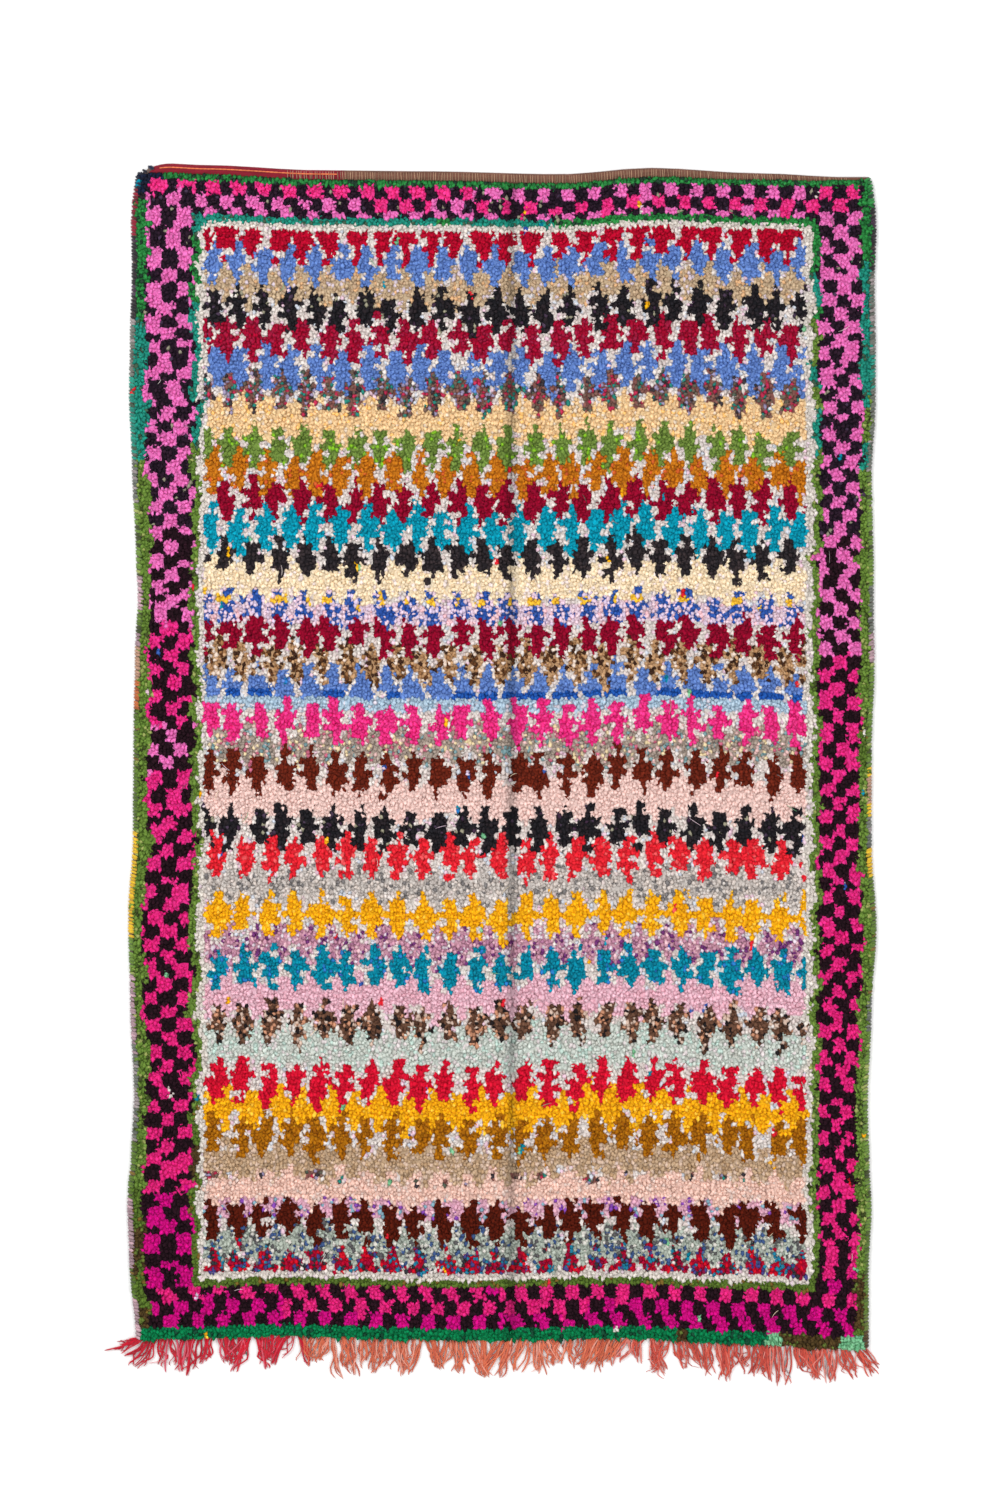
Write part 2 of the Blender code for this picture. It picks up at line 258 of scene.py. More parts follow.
# The field is worked in bands of toothed lozenges, eight knots apart, each band set half a
# lozenge beside the last. Centre and reach are in knot rows from the top of the field.
# Shapes: full lozenge, hanging or standing half, flat stripe, dot, and a base that recolours
# the foot of some of the last lozenges. Fill is the share of the reach where a band's own
# yarn also runs between its lozenges, instead of cream.
Band = namedtuple("Band", "yarn centre reach shape fill", defaults=("full", 0.0))
BANDS = [
    Band("crimson", 0.0, 4.9, "hanging"),
    Band("periwinkle", 5.0, 3.0),
    Band("beige", 8.1, 3.2, "full", 0.35),
    Band("black", 11.7, 3.4),
    Band("rose wine", 16.1, 3.3),
    Band("periwinkle", 20.9, 3.6),
    Band("dusk", 24.5, 3.3),
    Band("peach", 28.6, 3.8, "full", 0.60),
    Band("grass", 32.5, 3.3),
    Band("ochre", 36.5, 3.5),
    Band("wine", 40.5, 3.2),
    Band("turquoise", 44.8, 3.7),
    Band("charcoal", 49.1, 3.3),
    Band("pale yellow", 52.5, 3.2, "full", 0.75),
    Band("straw", 55.6, 0.8, "dot"),
    Band("cobalt", 57.0, 2.9),
    Band("lilac pink", 57.3, 1.3, "stripe"),
    Band("wine", 60.5, 3.2),
    Band("leopard", 64.8, 3.4),
    Band("periwinkle", 69.9, 4.8, "standing"),
    Band("royal blue", 69.9, 0.9, "base"),
    Band("light blue", 71.0, 1.2, "stripe"),
    Band("hot pink", 73.7, 3.3),
    Band("pastel", 77.2, 3.2, "full", 0.20),
    Band("chestnut", 81.3, 3.5),
    Band("salmon", 85.1, 3.6, "full", 0.75),
    Band("black", 89.5, 3.4),
    Band("coral", 93.8, 3.3),
    Band("heather", 98.1, 3.3, "full", 0.35),
    Band("gold", 102.6, 3.6, "full", 0.12),
    Band("plum fleck", 107.1, 3.1, "full", 0.20),
    Band("teal blue", 110.5, 3.4),
    Band("pink", 114.6, 3.3, "full", 0.55),
    Band("tortoise", 118.7, 3.4),
    Band("mint grey", 122.4, 3.6, "full", 0.70),
    Band("red", 127.8, 3.6),
    Band("gold", 131.6, 3.4, "full", 0.35),
    Band("bronze", 135.6, 3.4),
    Band("oat", 139.6, 3.1, "full", 0.45),
    Band("dusk", 142.0, 0.6, "dot"),
    Band("shell", 143.4, 3.0, "full", 0.70),
    Band("lilac fleck", 146.3, 1.5, "stripe"),
    Band("dark brown", 148.1, 3.5),
    Band("navy fleck", 152.1, 3.3, "full", 0.60),
    Band("party", 156.0, 4.2, "standing"),
]
LOZENGE = 8.0                  # knots from one lozenge to the next
# Half width of a lozenge, in knots, from its widest row (0) to its tip (1).
LOZENGE_SHAPE = {0.0: 3.0, 0.20: 2.8, 0.45: 2.25, 0.70: 1.55, 1.0: 0.85}
HALF_SHAPE = {0.0: 3.4, 0.35: 3.1, 0.55: 1.7, 0.80: 1.2, 1.0: 1.5}
DOT_SHAPE = {0.0: 1.2, 1.0: 1.0}
TOOTH = 0.8                    # how far each row of a lozenge juts in or out, in knots
SERRATION = 0.6                # and how far every other row stands out beyond the next
BAND_DRIFT = 0.5               # how far a lozenge strays sideways, in knots
ROW_DRIFT = 0.35               # and a single row of it
LOZENGE_LIFT = 0.3             # how far it stands up or down, in rows
STRIPE_SCORE = 0.12            # a stripe gives way to any lozenge that reaches over it
FILL_SCORE = 0.05
BASE_SHARE = 0.75              # share of lozenges that stand on a base


def chart_field():
    """Yarn of every knot in the field, as an array of rows and columns."""
    rows = int((row_zones == FIELD).sum())
    columns = int((column_zones == FIELD).sum())
    level = np.arange(rows)[:, None] + 0.5
    meander = 1.1 * np.sin(level / 19.0) + 0.7 * np.sin(level / 7.3 + 1.0)
    across = np.arange(columns)[None, :] + 0.5 + meander
    chart = np.full((rows, columns), yarn("cream"))
    best = np.zeros((rows, columns))
    lozenges = int(columns / LOZENGE) + 4
    phase = LOZENGE / 2
    for band in BANDS:
        if band.shape not in ("dot", "base"):
            phase = LOZENGE / 2 - phase
        start = phase + (LOZENGE / 2 if band.shape == "dot" else 0.0)
        number = np.floor((across - start) / LOZENGE + 0.5).astype(int)
        index = np.clip(number + 2, 0, lozenges - 1)
        lift = draw.normal(0.0, LOZENGE_LIFT, lozenges)[index]
        stray = draw.normal(0.0, BAND_DRIFT, lozenges)[index]
        size = draw.uniform(0.88, 1.10, lozenges)[index]
        row_stray = draw.normal(0.0, ROW_DRIFT, (rows, lozenges))
        left_tooth = draw.uniform(-TOOTH, TOOTH, (rows, lozenges))
        right_tooth = draw.uniform(-TOOTH, TOOTH, (rows, lozenges))
        stray = stray + np.take_along_axis(row_stray, index, 1)
        left_tooth = np.take_along_axis(left_tooth, index, 1)
        right_tooth = np.take_along_axis(right_tooth, index, 1)
        offset = across - (start + number * LOZENGE + stray)
        if band.shape == "base":
            foot = (np.abs(level - band.centre) <= band.reach) & (best > STRIPE_SCORE)
            score = np.where(foot & (draw.random(lozenges)[index] < BASE_SHARE), 2.0, 0.0)
        elif band.shape == "stripe":
            reach = (level - band.centre) / band.reach
            score = np.where(np.abs(reach) <= 1, STRIPE_SCORE, 0.0) + 0.0 * across
        else:
            reach = (level - band.centre + lift) / band.reach
            flat_edge = (level - band.centre) / band.reach
            shape = {"dot": DOT_SHAPE, "full": LOZENGE_SHAPE}.get(band.shape, HALF_SHAPE)
            half = np.interp(np.abs(reach), list(shape), list(shape.values())) * size
            half = half + SERRATION * (np.floor(level + index) % 2 - 0.5) * 2
            inside = (np.abs(reach) <= 1) & (offset > -half - left_tooth)
            inside &= offset < half + right_tooth
            if band.shape == "hanging":
                inside &= flat_edge >= 0
            if band.shape == "standing":
                inside &= flat_edge <= 0
            score = np.where(inside, 1.2 - 0.5 * np.abs(reach) - 0.08 * np.abs(offset), 0.0)
            score = np.maximum(score, np.where(np.abs(reach) < band.fill, FILL_SCORE, 0.0))
        chart = np.where(score > best, yarn(band.yarn), chart)
        best = np.maximum(best, score)
    return chart


# The border is checked. Heights in rows of the courses of checks, from the top end down, on
# the left half and on the right; on the left some stand taller near both corners.
CHECKS_LEFT = [2, 2, 3, 3, 3, 2, 3] + [2] * 35 + [3] + [2] * 33 + [3, 2, 3] + [2] * 3
CHECKS_RIGHT = [2] * 40 + [3] + [2] * 44
CHECK_WIDTH = 4                # in knots
# Dark part of the checks, by share of the length from the top end:
DARK_SHARE = {0.40: 0.49, 0.50: 0.55, 0.80: 0.55, 0.90: 0.50}
PLUM_END = 0.30                # share of the length where the plum black gives way to wine
SIDE_WANDER = 0.6              # how far the guards' edges stray down the sides, in knots
CHECK_WANDER = 0.28            # how far a check's edges stray, in rows or twice that in knots

# Where the yarn in hand ran out and the next was taken up, as shares of the length from
# the top end (sides) or of the width from the left (ends).
Change = namedtuple("Change", "start yarn")
PINKS_LEFT = [
    Change(0.00, "orchid"), Change(0.385, "fuchsia"), Change(0.47, "orchid"),
    Change(0.51, "fuchsia"), Change(0.63, "cerise"), Change(0.87, "magenta"),
]
PINKS_RIGHT = [
    Change(0.00, "orchid"), Change(0.405, "fuchsia"), Change(0.64, "cerise"),
    Change(0.94, "magenta"),
]
PINKS_TOP_FIRST = [Change(0.0, "hot pink"), Change(0.46, "orchid"), Change(0.93, "hot pink")]
PINKS_TOP_SECOND = [
    Change(0.0, "orchid"), Change(0.31, "hot pink"), Change(0.40, "orchid"), Change(0.46, "hot pink"),
]
PINKS_BOTTOM_SECOND = [Change(0.0, "magenta"), Change(0.20, "cerise"), Change(0.62, "magenta")]
OUTER_LEFT = [
    Change(0.00, "navy"), Change(0.012, "black"), Change(0.022, "bright green"),
    Change(0.12, "teal"), Change(0.245, "moss"), Change(0.87, "olive"), Change(0.90, "bark"),
    Change(0.935, "olive"), Change(0.975, "bark"),
]
OUTER_RIGHT = [
    Change(0.00, "bright green"), Change(0.067, "teal"), Change(0.188, "moss"),
    Change(0.221, "teal"), Change(0.241, "moss"), Change(0.47, "olive"), Change(0.50, "moss"),
    Change(0.94, "bark"), Change(0.985, "olive"),
]
INNER_LEFT = [
    Change(0.00, "teal"), Change(0.05, "bright green"), Change(0.105, "teal"),
    Change(0.23, "moss"), Change(0.80, "olive"), Change(0.83, "bark"), Change(0.86, "olive"),
]
INNER_RIGHT = [
    Change(0.00, "bright green"), Change(0.075, "teal"), Change(0.105, "bright green"),
    Change(0.12, "moss"), Change(0.155, "teal"), Change(0.175, "moss"), Change(0.194, "teal"),
    Change(0.231, "moss"), Change(0.93, "olive"),
]
OUTER_TOP = [Change(0.0, "navy"), Change(0.035, "bright green")]
INNER_TOP = [
    Change(0.0, "teal"), Change(0.41, "bright green"), Change(0.43, "teal"),
    Change(0.57, "bright green"),
]
INNER_BOTTOM = [Change(0.0, "olive")]
OUTER_BOTTOM = [
    Change(0.0, "emerald"), Change(0.735, "bark"), Change(0.75, "emerald"), Change(0.855, "mint"),
    Change(0.875, "bark"), Change(0.96, "mint"),
]


def taken_up(changes, share):
    """Yarn in use at each share of a side or end, with a knot or two of overlap."""
    share = share + draw.normal(0.0, 0.002, share.shape)
    starts = [change.start for change in changes]
    yarns = np.array([yarn(change.yarn) for change in changes])
    return yarns[np.clip(np.searchsorted(starts, share, side="right") - 1, 0, None)]


def lay_checks(heights):
    """Course of checks that every knot is in, and its place (0 to 1) in a pair of checks."""
    ledges = np.cumsum([0] + heights)
    courses = len(heights)
    row_in = row - int(np.argmax(row_zones == CHECKS)) + 0.5
    course = np.clip(np.searchsorted(ledges, row_in, side="right") - 1, 0, courses - 1)
    lift = draw.normal(0.0, CHECK_WANDER, (courses, COLUMNS // CHECK_WIDTH + 1))
    row_in = row_in + lift[course, column // CHECK_WIDTH]
    check_row = np.clip(np.searchsorted(ledges, row_in, side="right") - 1, 0, courses - 1)
    shift = draw.normal(0.0, 2 * CHECK_WANDER, courses)[check_row]
    shift = shift + draw.normal(0.0, CHECK_WANDER, (ROWS, 1))
    pair = (column + 0.5 + shift) / (2 * CHECK_WIDTH) + 0.25 + 0.5 * (check_row % 2)
    return check_row, pair % 1.0


def chart_rug():
    """Yarn of every knot in the rug, as an array of rows and columns."""
    down = np.broadcast_to(row_places[:, None], zone.shape)
    over = np.broadcast_to(column_places[None, :], zone.shape)
    left_half = over < 0.5
    upper = row < ROWS / 2
    wander = draw.normal(0.0, SIDE_WANDER / 1.4, (ROWS + 1, 2))    # halves that add up to it
    wander = np.rint(wander[1:] + wander[:-1]).astype(int)
    strayed = column + np.where(left_half, wander[:, :1], wander[:, 1:])
    strayed = np.clip(strayed, 0, COLUMNS - 1)
    shown = np.minimum(row_zones[:, None], column_zones[strayed])
    chart = np.full(zone.shape, yarn("ivory"))
    chart[np.ix_(row_zones == FIELD, column_zones == FIELD)] = chart_field()

    guards = (
        (OUTER_GUARD, OUTER_LEFT, OUTER_RIGHT, OUTER_TOP, OUTER_BOTTOM),
        (INNER_GUARD, INNER_LEFT, INNER_RIGHT, INNER_TOP, INNER_BOTTOM),
    )
    for ring, left, right, top, bottom in guards:
        sides = np.where(left_half, taken_up(left, down), taken_up(right, down))
        ends = np.where(upper, taken_up(top, over), taken_up(bottom, over))
        along_end = (row_zones[:, None] == ring) & (column_zones[strayed] >= ring)
        which = np.where(along_end, ends, sides)
        chart = np.where(shown == ring, which, chart)

    pinks = np.where(left_half, taken_up(PINKS_LEFT, down), taken_up(PINKS_RIGHT, down))
    for heights, half in ((CHECKS_LEFT, left_half), (CHECKS_RIGHT, ~left_half)):
        check_row, pair = lay_checks(heights)
        last = len(heights) - 1
        pink = pinks
        ends = {
            0: taken_up(PINKS_TOP_FIRST, over),
            1: taken_up(PINKS_TOP_SECOND, over),
            last - 2: np.full(zone.shape, yarn("cerise")),
            last - 1: taken_up(PINKS_BOTTOM_SECOND, over),
            last: np.full(zone.shape, yarn("magenta")),
        }
        for course, yarns in ends.items():
            pink = np.where((check_row == course) & (row_zones[:, None] == CHECKS), yarns, pink)
        share = np.interp(down, list(DARK_SHARE), list(DARK_SHARE.values()))
        dark = np.abs(pair - 0.5) < share / 2
        black = np.where(down < PLUM_END, yarn("plum black"), yarn("wine black"))
        checks = np.where(dark, black, pink)
        chart = np.where((shown == CHECKS) & half, checks, chart)
    chart[shown == CREAM] = yarn("ivory")
    return chart


chart = chart_rug()

# Here and there a knot was tied with whatever was at hand.
STRAY_SHARE = 0.0025
STRAY_YARNS = [yarn(name) for name in ("gold", "cobalt", "teal blue", "mint", "cream", "coral")]
stray = draw.random(chart.shape) < STRAY_SHARE
chart = np.where(stray, draw.choice(STRAY_YARNS, chart.shape), chart)


# One yarn end, modelled once: a three-sided bud, widest near its tip. It stands
# from 0 to 1 along Z and is copied along the bend of every end in the pile.
BUD_RINGS = [(0.0, 0.85), (0.66, 1.0), (1.0, 0.0)]    # height and radius, foot to tip
END_ROLL = 0.35                # how far an end is rolled about its own line, in radians
OVER_FLOOR = 0.0003            # nothing hangs lower than this


def model_bud(name, sides, rings):
    """A tapering yarn end from 0 to 1 along Z: rings are pairs of height and radius."""
    bpy.ops.object.select_all(action="DESELECT")
    bpy.ops.mesh.primitive_circle_add(vertices=sides, radius=rings[0][1], fill_type="NGON")
    bud = bpy.context.object
    bud.name = name
    bpy.ops.object.mode_set(mode="EDIT")
    bpy.ops.mesh.select_all(action="SELECT")
    for (low, narrow), (high, wide) in zip(rings, rings[1:]):
        rise = {"value": (0.0, 0.0, high - low)}
        bpy.ops.mesh.extrude_region_move(TRANSFORM_OT_translate=rise)
        if wide > 0:
            grow = wide / narrow
            bpy.ops.transform.resize(value=(grow, grow, 1.0), center_override=(0.0, 0.0, high))
    if rings[-1][1] == 0:
        bpy.ops.mesh.merge(type="CENTER")
    bpy.ops.mesh.select_all(action="SELECT")
    bpy.ops.mesh.normals_make_consistent(inside=False)
    bpy.ops.object.mode_set(mode="OBJECT")
    shape = np.array([corner.co for corner in bud.data.vertices])
    faces = [list(face.vertices) for face in bud.data.polygons]
    bpy.data.objects.remove(bud, do_unlink=True)
    return shape, faces


def paint(mesh, colors, domain="POINT"):
    """Give a mesh its dyes: one colour for every point, or for every corner of a face."""
    shades = np.ones((len(colors), 4), np.float32)
    shades[:, :3] = colors
    tint = mesh.color_attributes.new(name="dye", type="FLOAT_COLOR", domain=domain)
    tint.data.foreach_set("color", shades.ravel())


def lay_ends(name, bud, roots, bends, tips, radii, colors, material, flatness=1.0, sways=None):
    """Join copies of a bud into one mesh, each along its own bend from root to tip.

    A sway adds sideways waves: their reach, their number, and where they start.
    """
    shape, faces = bud
    count = len(roots)
    rise = np.clip(shape[:, 2], 0.0, 1.0)[None, :, None]
    spine = (1 - rise) ** 2 * roots[:, None] + 2 * rise * (1 - rise) * bends[:, None]
    spine = spine + rise ** 2 * tips[:, None]
    course = (1 - rise) * (bends - roots)[:, None] + rise * (tips - bends)[:, None]
    course /= np.linalg.norm(course, axis=2, keepdims=True) + 1e-9
    lean = (tips - roots)[:, None]
    side = np.concatenate([-lean[..., 1:2], lean[..., 0:1], 0 * lean[..., 2:]], 2)
    side /= np.linalg.norm(side, axis=2, keepdims=True) + 1e-9
    if sways is not None:
        reach, waves, start = (sways[:, None, column:column + 1] for column in range(3))
        spine = spine + side * reach * rise * np.sin(2 * math.pi * waves * rise + start)
    crown = np.cross(side, course)
    crown *= np.where(crown[:, :, 2:].sum(1, keepdims=True) < 0, -1.0, 1.0)
    roll = draw.normal(0.0, END_ROLL, count)[:, None, None]
    broad = np.cos(roll) * side + np.sin(roll) * crown
    thick = (np.cos(roll) * crown - np.sin(roll) * side) * flatness
    girth = radii[:, None, None]
    points = spine + girth * (shape[None, :, 0:1] * broad + shape[None, :, 1:2] * thick)
    points[..., 2] = np.maximum(points[..., 2], OVER_FLOOR)

    sizes = np.array([len(face) for face in faces])
    flat = np.concatenate([np.array(face) for face in faces])
    corners = (flat[None, :] + len(shape) * np.arange(count)[:, None]).ravel()
    starts = np.cumsum(np.concatenate([[0], np.tile(sizes, count)]))[:-1]
    mesh = bpy.data.meshes.new(name)
    mesh.vertices.add(count * len(shape))
    mesh.vertices.foreach_set("co", points.astype(np.float32).ravel())
    mesh.loops.add(len(corners))
    mesh.loops.foreach_set("vertex_index", corners.astype(np.int32))
    mesh.polygons.add(len(starts))
    mesh.polygons.foreach_set("loop_start", starts.astype(np.int32))
    mesh.polygons.foreach_set("use_smooth", np.ones(len(starts), bool))
    mesh.update(calc_edges=True)

    around = np.arctan2(shape[:, 1], shape[:, 0]) / (2 * math.pi) + 0.5
    lengthwise = np.stack([around, shape[:, 2]], 1)[flat]
    shift = draw.random((count, 1, 2)) * 9.0
    layout = mesh.uv_layers.new(name="yarn run")
    layout.data.foreach_set("uv", (lengthwise[None] + shift).astype(np.float32).ravel())
    paint(mesh, colors.repeat(len(shape), 0))
    mesh.materials.append(material)
    piece = bpy.data.objects.new(name, mesh)
    bpy.context.scene.collection.objects.link(piece)
    return piece


def fill(shader_node, values):
    """Set the values of a shader node's inputs by their names."""
    for label, value in values.items():
        shader_node.inputs[label].default_value = value


def node(tree, kind, place_at, values=None, **settings):
    """Add a shader node, set its properties and its inputs' values, and give it back."""
    made = tree.nodes.new(kind)
    made.location = place_at
    for key, value in settings.items():
        setattr(made, key, value)
    fill(made, values or {})
    return made


def make_fibre_group():
    """Fine fibres that run along a yarn: they streak its colour and give it relief."""
    group = bpy.data.node_groups.new("fibre grain", "ShaderNodeTree")
    for label, kind in (("Run", "NodeSocketVector"), ("Dye", "NodeSocketColor")):
        group.interface.new_socket(label, in_out="INPUT", socket_type=kind)
    for label, value in (("Across", 9.0), ("Along", 1.6), ("Depth", 0.35)):
        socket = group.interface.new_socket(label, in_out="INPUT", socket_type="NodeSocketFloat")
        socket.default_value = value
    group.interface.new_socket("Color", in_out="OUTPUT", socket_type="NodeSocketColor")
    group.interface.new_socket("Height", in_out="OUTPUT", socket_type="NodeSocketFloat")
    inside = node(group, "NodeGroupInput", (-900, 0))
    outside = node(group, "NodeGroupOutput", (500, 0))
    scale = node(group, "ShaderNodeCombineXYZ", (-700, -120), {"Z": 1.0})
    stretch = node(group, "ShaderNodeVectorMath", (-520, 0), operation="MULTIPLY")
    noise = node(group, "ShaderNodeTexNoise", (-340, 0), {"Scale": 1.0, "Detail": 3.0})
    lighten = node(
        group, "ShaderNodeMapRange", (-140, -140), {"From Min": 0.30, "From Max": 0.70}
    )
    low = node(group, "ShaderNodeMath", (-340, -260), {0: 1.0}, operation="SUBTRACT")
    high = node(group, "ShaderNodeMath", (-340, -420), {0: 1.0}, operation="ADD")
    tint = node(group, "ShaderNodeVectorMath", (120, 0), operation="SCALE")
    link = group.links.new
    link(inside.outputs["Across"], scale.inputs["X"])
    link(inside.outputs["Along"], scale.inputs["Y"])
    link(inside.outputs["Run"], stretch.inputs[0])
    link(scale.outputs["Vector"], stretch.inputs[1])
    link(stretch.outputs["Vector"], noise.inputs["Vector"])
    link(noise.outputs["Fac"], lighten.inputs["Value"])
    link(inside.outputs["Depth"], low.inputs[1])
    link(inside.outputs["Depth"], high.inputs[1])
    link(low.outputs["Value"], lighten.inputs["To Min"])
    link(high.outputs["Value"], lighten.inputs["To Max"])
    link(inside.outputs["Dye"], tint.inputs[0])
    link(lighten.outputs["Result"], tint.inputs["Scale"])
    link(tint.outputs["Vector"], outside.inputs["Color"])
    link(noise.outputs["Fac"], outside.inputs["Height"])
    return group


fibre_grain = make_fibre_group()


def yarn_material(name, across, along, depth, relief, roughness, sheen):
    """Dyed yarn: colour from the mesh, streaked and roughened by its own fibres."""
    material = bpy.data.materials.new(name)
    material.use_nodes = True
    tree = material.node_tree
    shader = tree.nodes["Principled BSDF"]
    fill(shader, {"Roughness": roughness, "Specular IOR Level": 0.15})
    fill(shader, {"Sheen Weight": sheen, "Sheen Roughness": 0.6})
    dye = node(tree, "ShaderNodeAttribute", (-900, 200), attribute_name="dye")
    run = node(tree, "ShaderNodeUVMap", (-900, -50), uv_map="yarn run")
    grain = node(tree, "ShaderNodeGroup", (-600, 100), node_tree=fibre_grain)
    fill(grain, {"Across": across, "Along": along, "Depth": depth})
    bump = node(tree, "ShaderNodeBump", (-300, -100), {"Strength": relief, "Distance": 0.001})
    tree.links.new(run.outputs["UV"], grain.inputs["Run"])
    tree.links.new(dye.outputs["Color"], grain.inputs["Dye"])
    tree.links.new(grain.outputs["Color"], shader.inputs["Base Color"])
    tree.links.new(grain.outputs["Height"], bump.inputs["Height"])
    tree.links.new(bump.outputs["Normal"], shader.inputs["Normal"])
    return material


# Lie of the pile, in metres. The ends stand packed together up to the bed's level, and only
# their outer parts show above it. The fold down the middle parts them to both sides.
BODY_WIDTH = 1.475
BODY_LENGTH = 2.375
BED_LEVEL = 0.0108
BED_RIM = 0.0060               # the bed's level at the rim of the rug
RIM_WIDTH = 0.016
END_FOOT = 0.0040              # how deep in the bed an end is taken to start
END_HEIGHT = 0.0072            # from there to the crown of its bend
END_LEAN = 0.0105              # how far its tip lies towards the fringe
ROW_STEP = 0.0009              # the back end of a knot stands a little lower
END_SHIFT = 0.0058             # so its foot is set back by this much
KNOT_STRAY = 0.0024            # how far a knot's ends lean together, any way
END_STRAY = 0.0018             # and each end on its own
CLUMP_STRAY = 0.0024           # and whole clumps of knots
END_RADIUS = 0.0060
END_FLATNESS = 0.50            # rag yarn lies flat: its thickness over its width
ENDS_PER_KNOT = 2
CREASE_X = 0.0260              # the fold down the middle
CREASE_WIDTH = 0.009
CREASE_SINK = 0.0040
CREASE_PART = 0.0040           # how far the ends lean away from it on both sides
FOLD_PAINTED_SHADE = 0.41             # painted shade darkens the fold by this much at its middle
# width of that painted shade across the fold
FOLD_SHADE_WIDTH = 0.0105
ROW_PAINTED_LIGHT = 0.085             # each row's front ends are painted lighter and its back ones darker: painted light and shade
EDGE_SPILL = 0.0030            # the outermost knots lean out over the selvedges

pile_wool = yarn_material("pile wool", 16.0, 1.6, 0.30, 0.8, 0.95, 0.0)
pile_bud = model_bud("pile end", 3, BUD_RINGS)

MAINS = np.array([linear(YARNS[name].main) for name in YARN_NAMES])
SHADES = np.array([linear(YARNS[name].shade) for name in YARN_NAMES])
ODD_SHARES = np.array([YARNS[name].odd_share for name in YARN_NAMES])
ODD_PICKS = 12                 # places for a yarn's odd ends, which fill them in turn
ODDS = []
for name in YARN_NAMES:
    odd_colors = YARNS[name].odd or (YARNS[name].main,)
    ODDS.append([linear(odd_colors[pick % len(odd_colors)]) for pick in range(ODD_PICKS)])
ODDS = np.array(ODDS)
KNOT_LUCK = 0.35               # share of ends whose colour goes with their knot's


def dye_ends(yarns, together):
    """Colour of each end: between its yarn's two dyes, or an odd end's own colour."""
    count = len(yarns)
    blend = draw.random(count)[:, None] ** 1.4
    color = MAINS[yarns] * (1 - blend) + SHADES[yarns] * blend
    by_knot = draw.random((count // together + 1, 2)).repeat(together, 0)[:count]
    by_end = draw.random((count, 2))
    luck = np.where(draw.random((count, 1)) < KNOT_LUCK, by_knot, by_end)
    odd = luck[:, 0] < ODD_SHARES[yarns]
    color[odd] = ODDS[yarns[odd], (luck[odd, 1] * ODD_PICKS).astype(int)]
    return color * draw.uniform(0.94, 1.08, (count, 1))


def painted_fold_shade(x):
    """How light the pile is painted at X: the bottom of the fold is painted dark, as painted shade."""
    return 1 - FOLD_PAINTED_SHADE * np.exp(-(((x - CREASE_X) / FOLD_SHADE_WIDTH) ** 2))


def bed_level(across, down, x):
    """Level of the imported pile: lower at the rim of the rug and along the fold."""
    from_side = np.minimum(across, 1 - across) * BODY_WIDTH
    from_end = np.minimum(down, 1 - down) * BODY_LENGTH
    rise = np.clip(np.minimum(from_side, from_end) / RIM_WIDTH, 0, 1) ** 0.5
    sink = CREASE_SINK * np.exp(-(((x - CREASE_X) / CREASE_WIDTH) ** 2))
    return BED_RIM + (BED_LEVEL - BED_RIM) * rise - sink


def ripple(x, y, wavelength, waves):
    """Smooth random swell over the rug, from about -1 to 1, as a sum of plane waves."""
    swell = np.zeros(len(x))
    for angle, phase, stretch in draw.uniform(0, 1, (waves, 3)):
        angle = math.pi * angle
        number = 2 * math.pi / (wavelength * (0.6 + stretch))
        swell += np.sin(number * (x * math.cos(angle) + y * math.sin(angle)) + 7 * phase)
    return swell / math.sqrt(waves)


def tuft(name, chosen):
    """Pile of the chosen knots as one mesh of yarn ends."""
    rows, columns = np.nonzero(chosen)
    knots = len(rows)
    rows = rows.repeat(ENDS_PER_KNOT)
    columns = columns.repeat(ENDS_PER_KNOT)
    count = len(rows)
    front = np.tile([-0.25, 0.25], knots)
    across = column_places[columns] + draw.normal(0.0, 0.20, count) * column_pitches[columns]
    down = row_places[rows] + (front + draw.normal(0.0, 0.12, count)) * row_pitches[rows]
    x, y = place(across, 1 - down)

    stray_by_knot = draw.normal(0.0, KNOT_STRAY, (knots, 2)).repeat(ENDS_PER_KNOT, 0)
    from_crease = x - CREASE_X
    parting = CREASE_PART * np.sign(from_crease) * np.exp(-np.abs(from_crease) / CREASE_WIDTH)
    spill = EDGE_SPILL * ((columns >= COLUMNS - 2) * 1.0 - (columns < 2) * 1.0)
    spill = spill * (0.6 + np.abs(ripple(x, y, 0.020, 5)))
    lean_x = CLUMP_STRAY * ripple(x, y, 0.035, 7) + 0.0010 * ripple(x, y, 0.30, 4)
    lean_x = lean_x + stray_by_knot[:, 0] + draw.normal(0.0, END_STRAY, count) + parting + spill
    lean_y = CLUMP_STRAY * ripple(x, y, 0.035, 7) - END_LEAN
    lean_y = lean_y + stray_by_knot[:, 1] + draw.normal(0.0, END_STRAY, count)
    height = END_HEIGHT + draw.normal(0.0, 0.0006, knots).repeat(ENDS_PER_KNOT)
    height = height + draw.normal(0.0, 0.0005, count) - ROW_STEP * (front < 0)

    foot = bed_level(across, down, x) - END_FOOT
    back = np.minimum(END_SHIFT, np.interp(x, *pile_end) + END_SHIFT / 2 - y)
    roots = np.stack([x, y + back, foot], 1)
    bends = roots + np.stack([0.25 * lean_x, 0.25 * lean_y, 1.15 * height], 1)
    tips = roots + np.stack([lean_x, lean_y, 0.98 * height], 1)
    radii = END_RADIUS * draw.uniform(0.85, 1.15, count)
    # Painted light and shade: each row's front ends are painted lighter, its back ends darker.
    # Painted shade: ends near the fold are painted darker.
    light = painted_fold_shade(x) * (1 + ROW_PAINTED_LIGHT * np.sign(front))
    colors = dye_ends(chart[rows, columns], ENDS_PER_KNOT) * light[:, None]
    return lay_ends(
        name, pile_bud, roots, bends, tips, radii, colors, pile_wool, END_FLATNESS
    )


BED_FLOOR = 0.0030
BED_PAINTED_SHADE = 0.80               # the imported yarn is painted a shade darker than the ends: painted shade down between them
BED_GRAIN = 0.012              # metres of bed to one unit of its yarn run


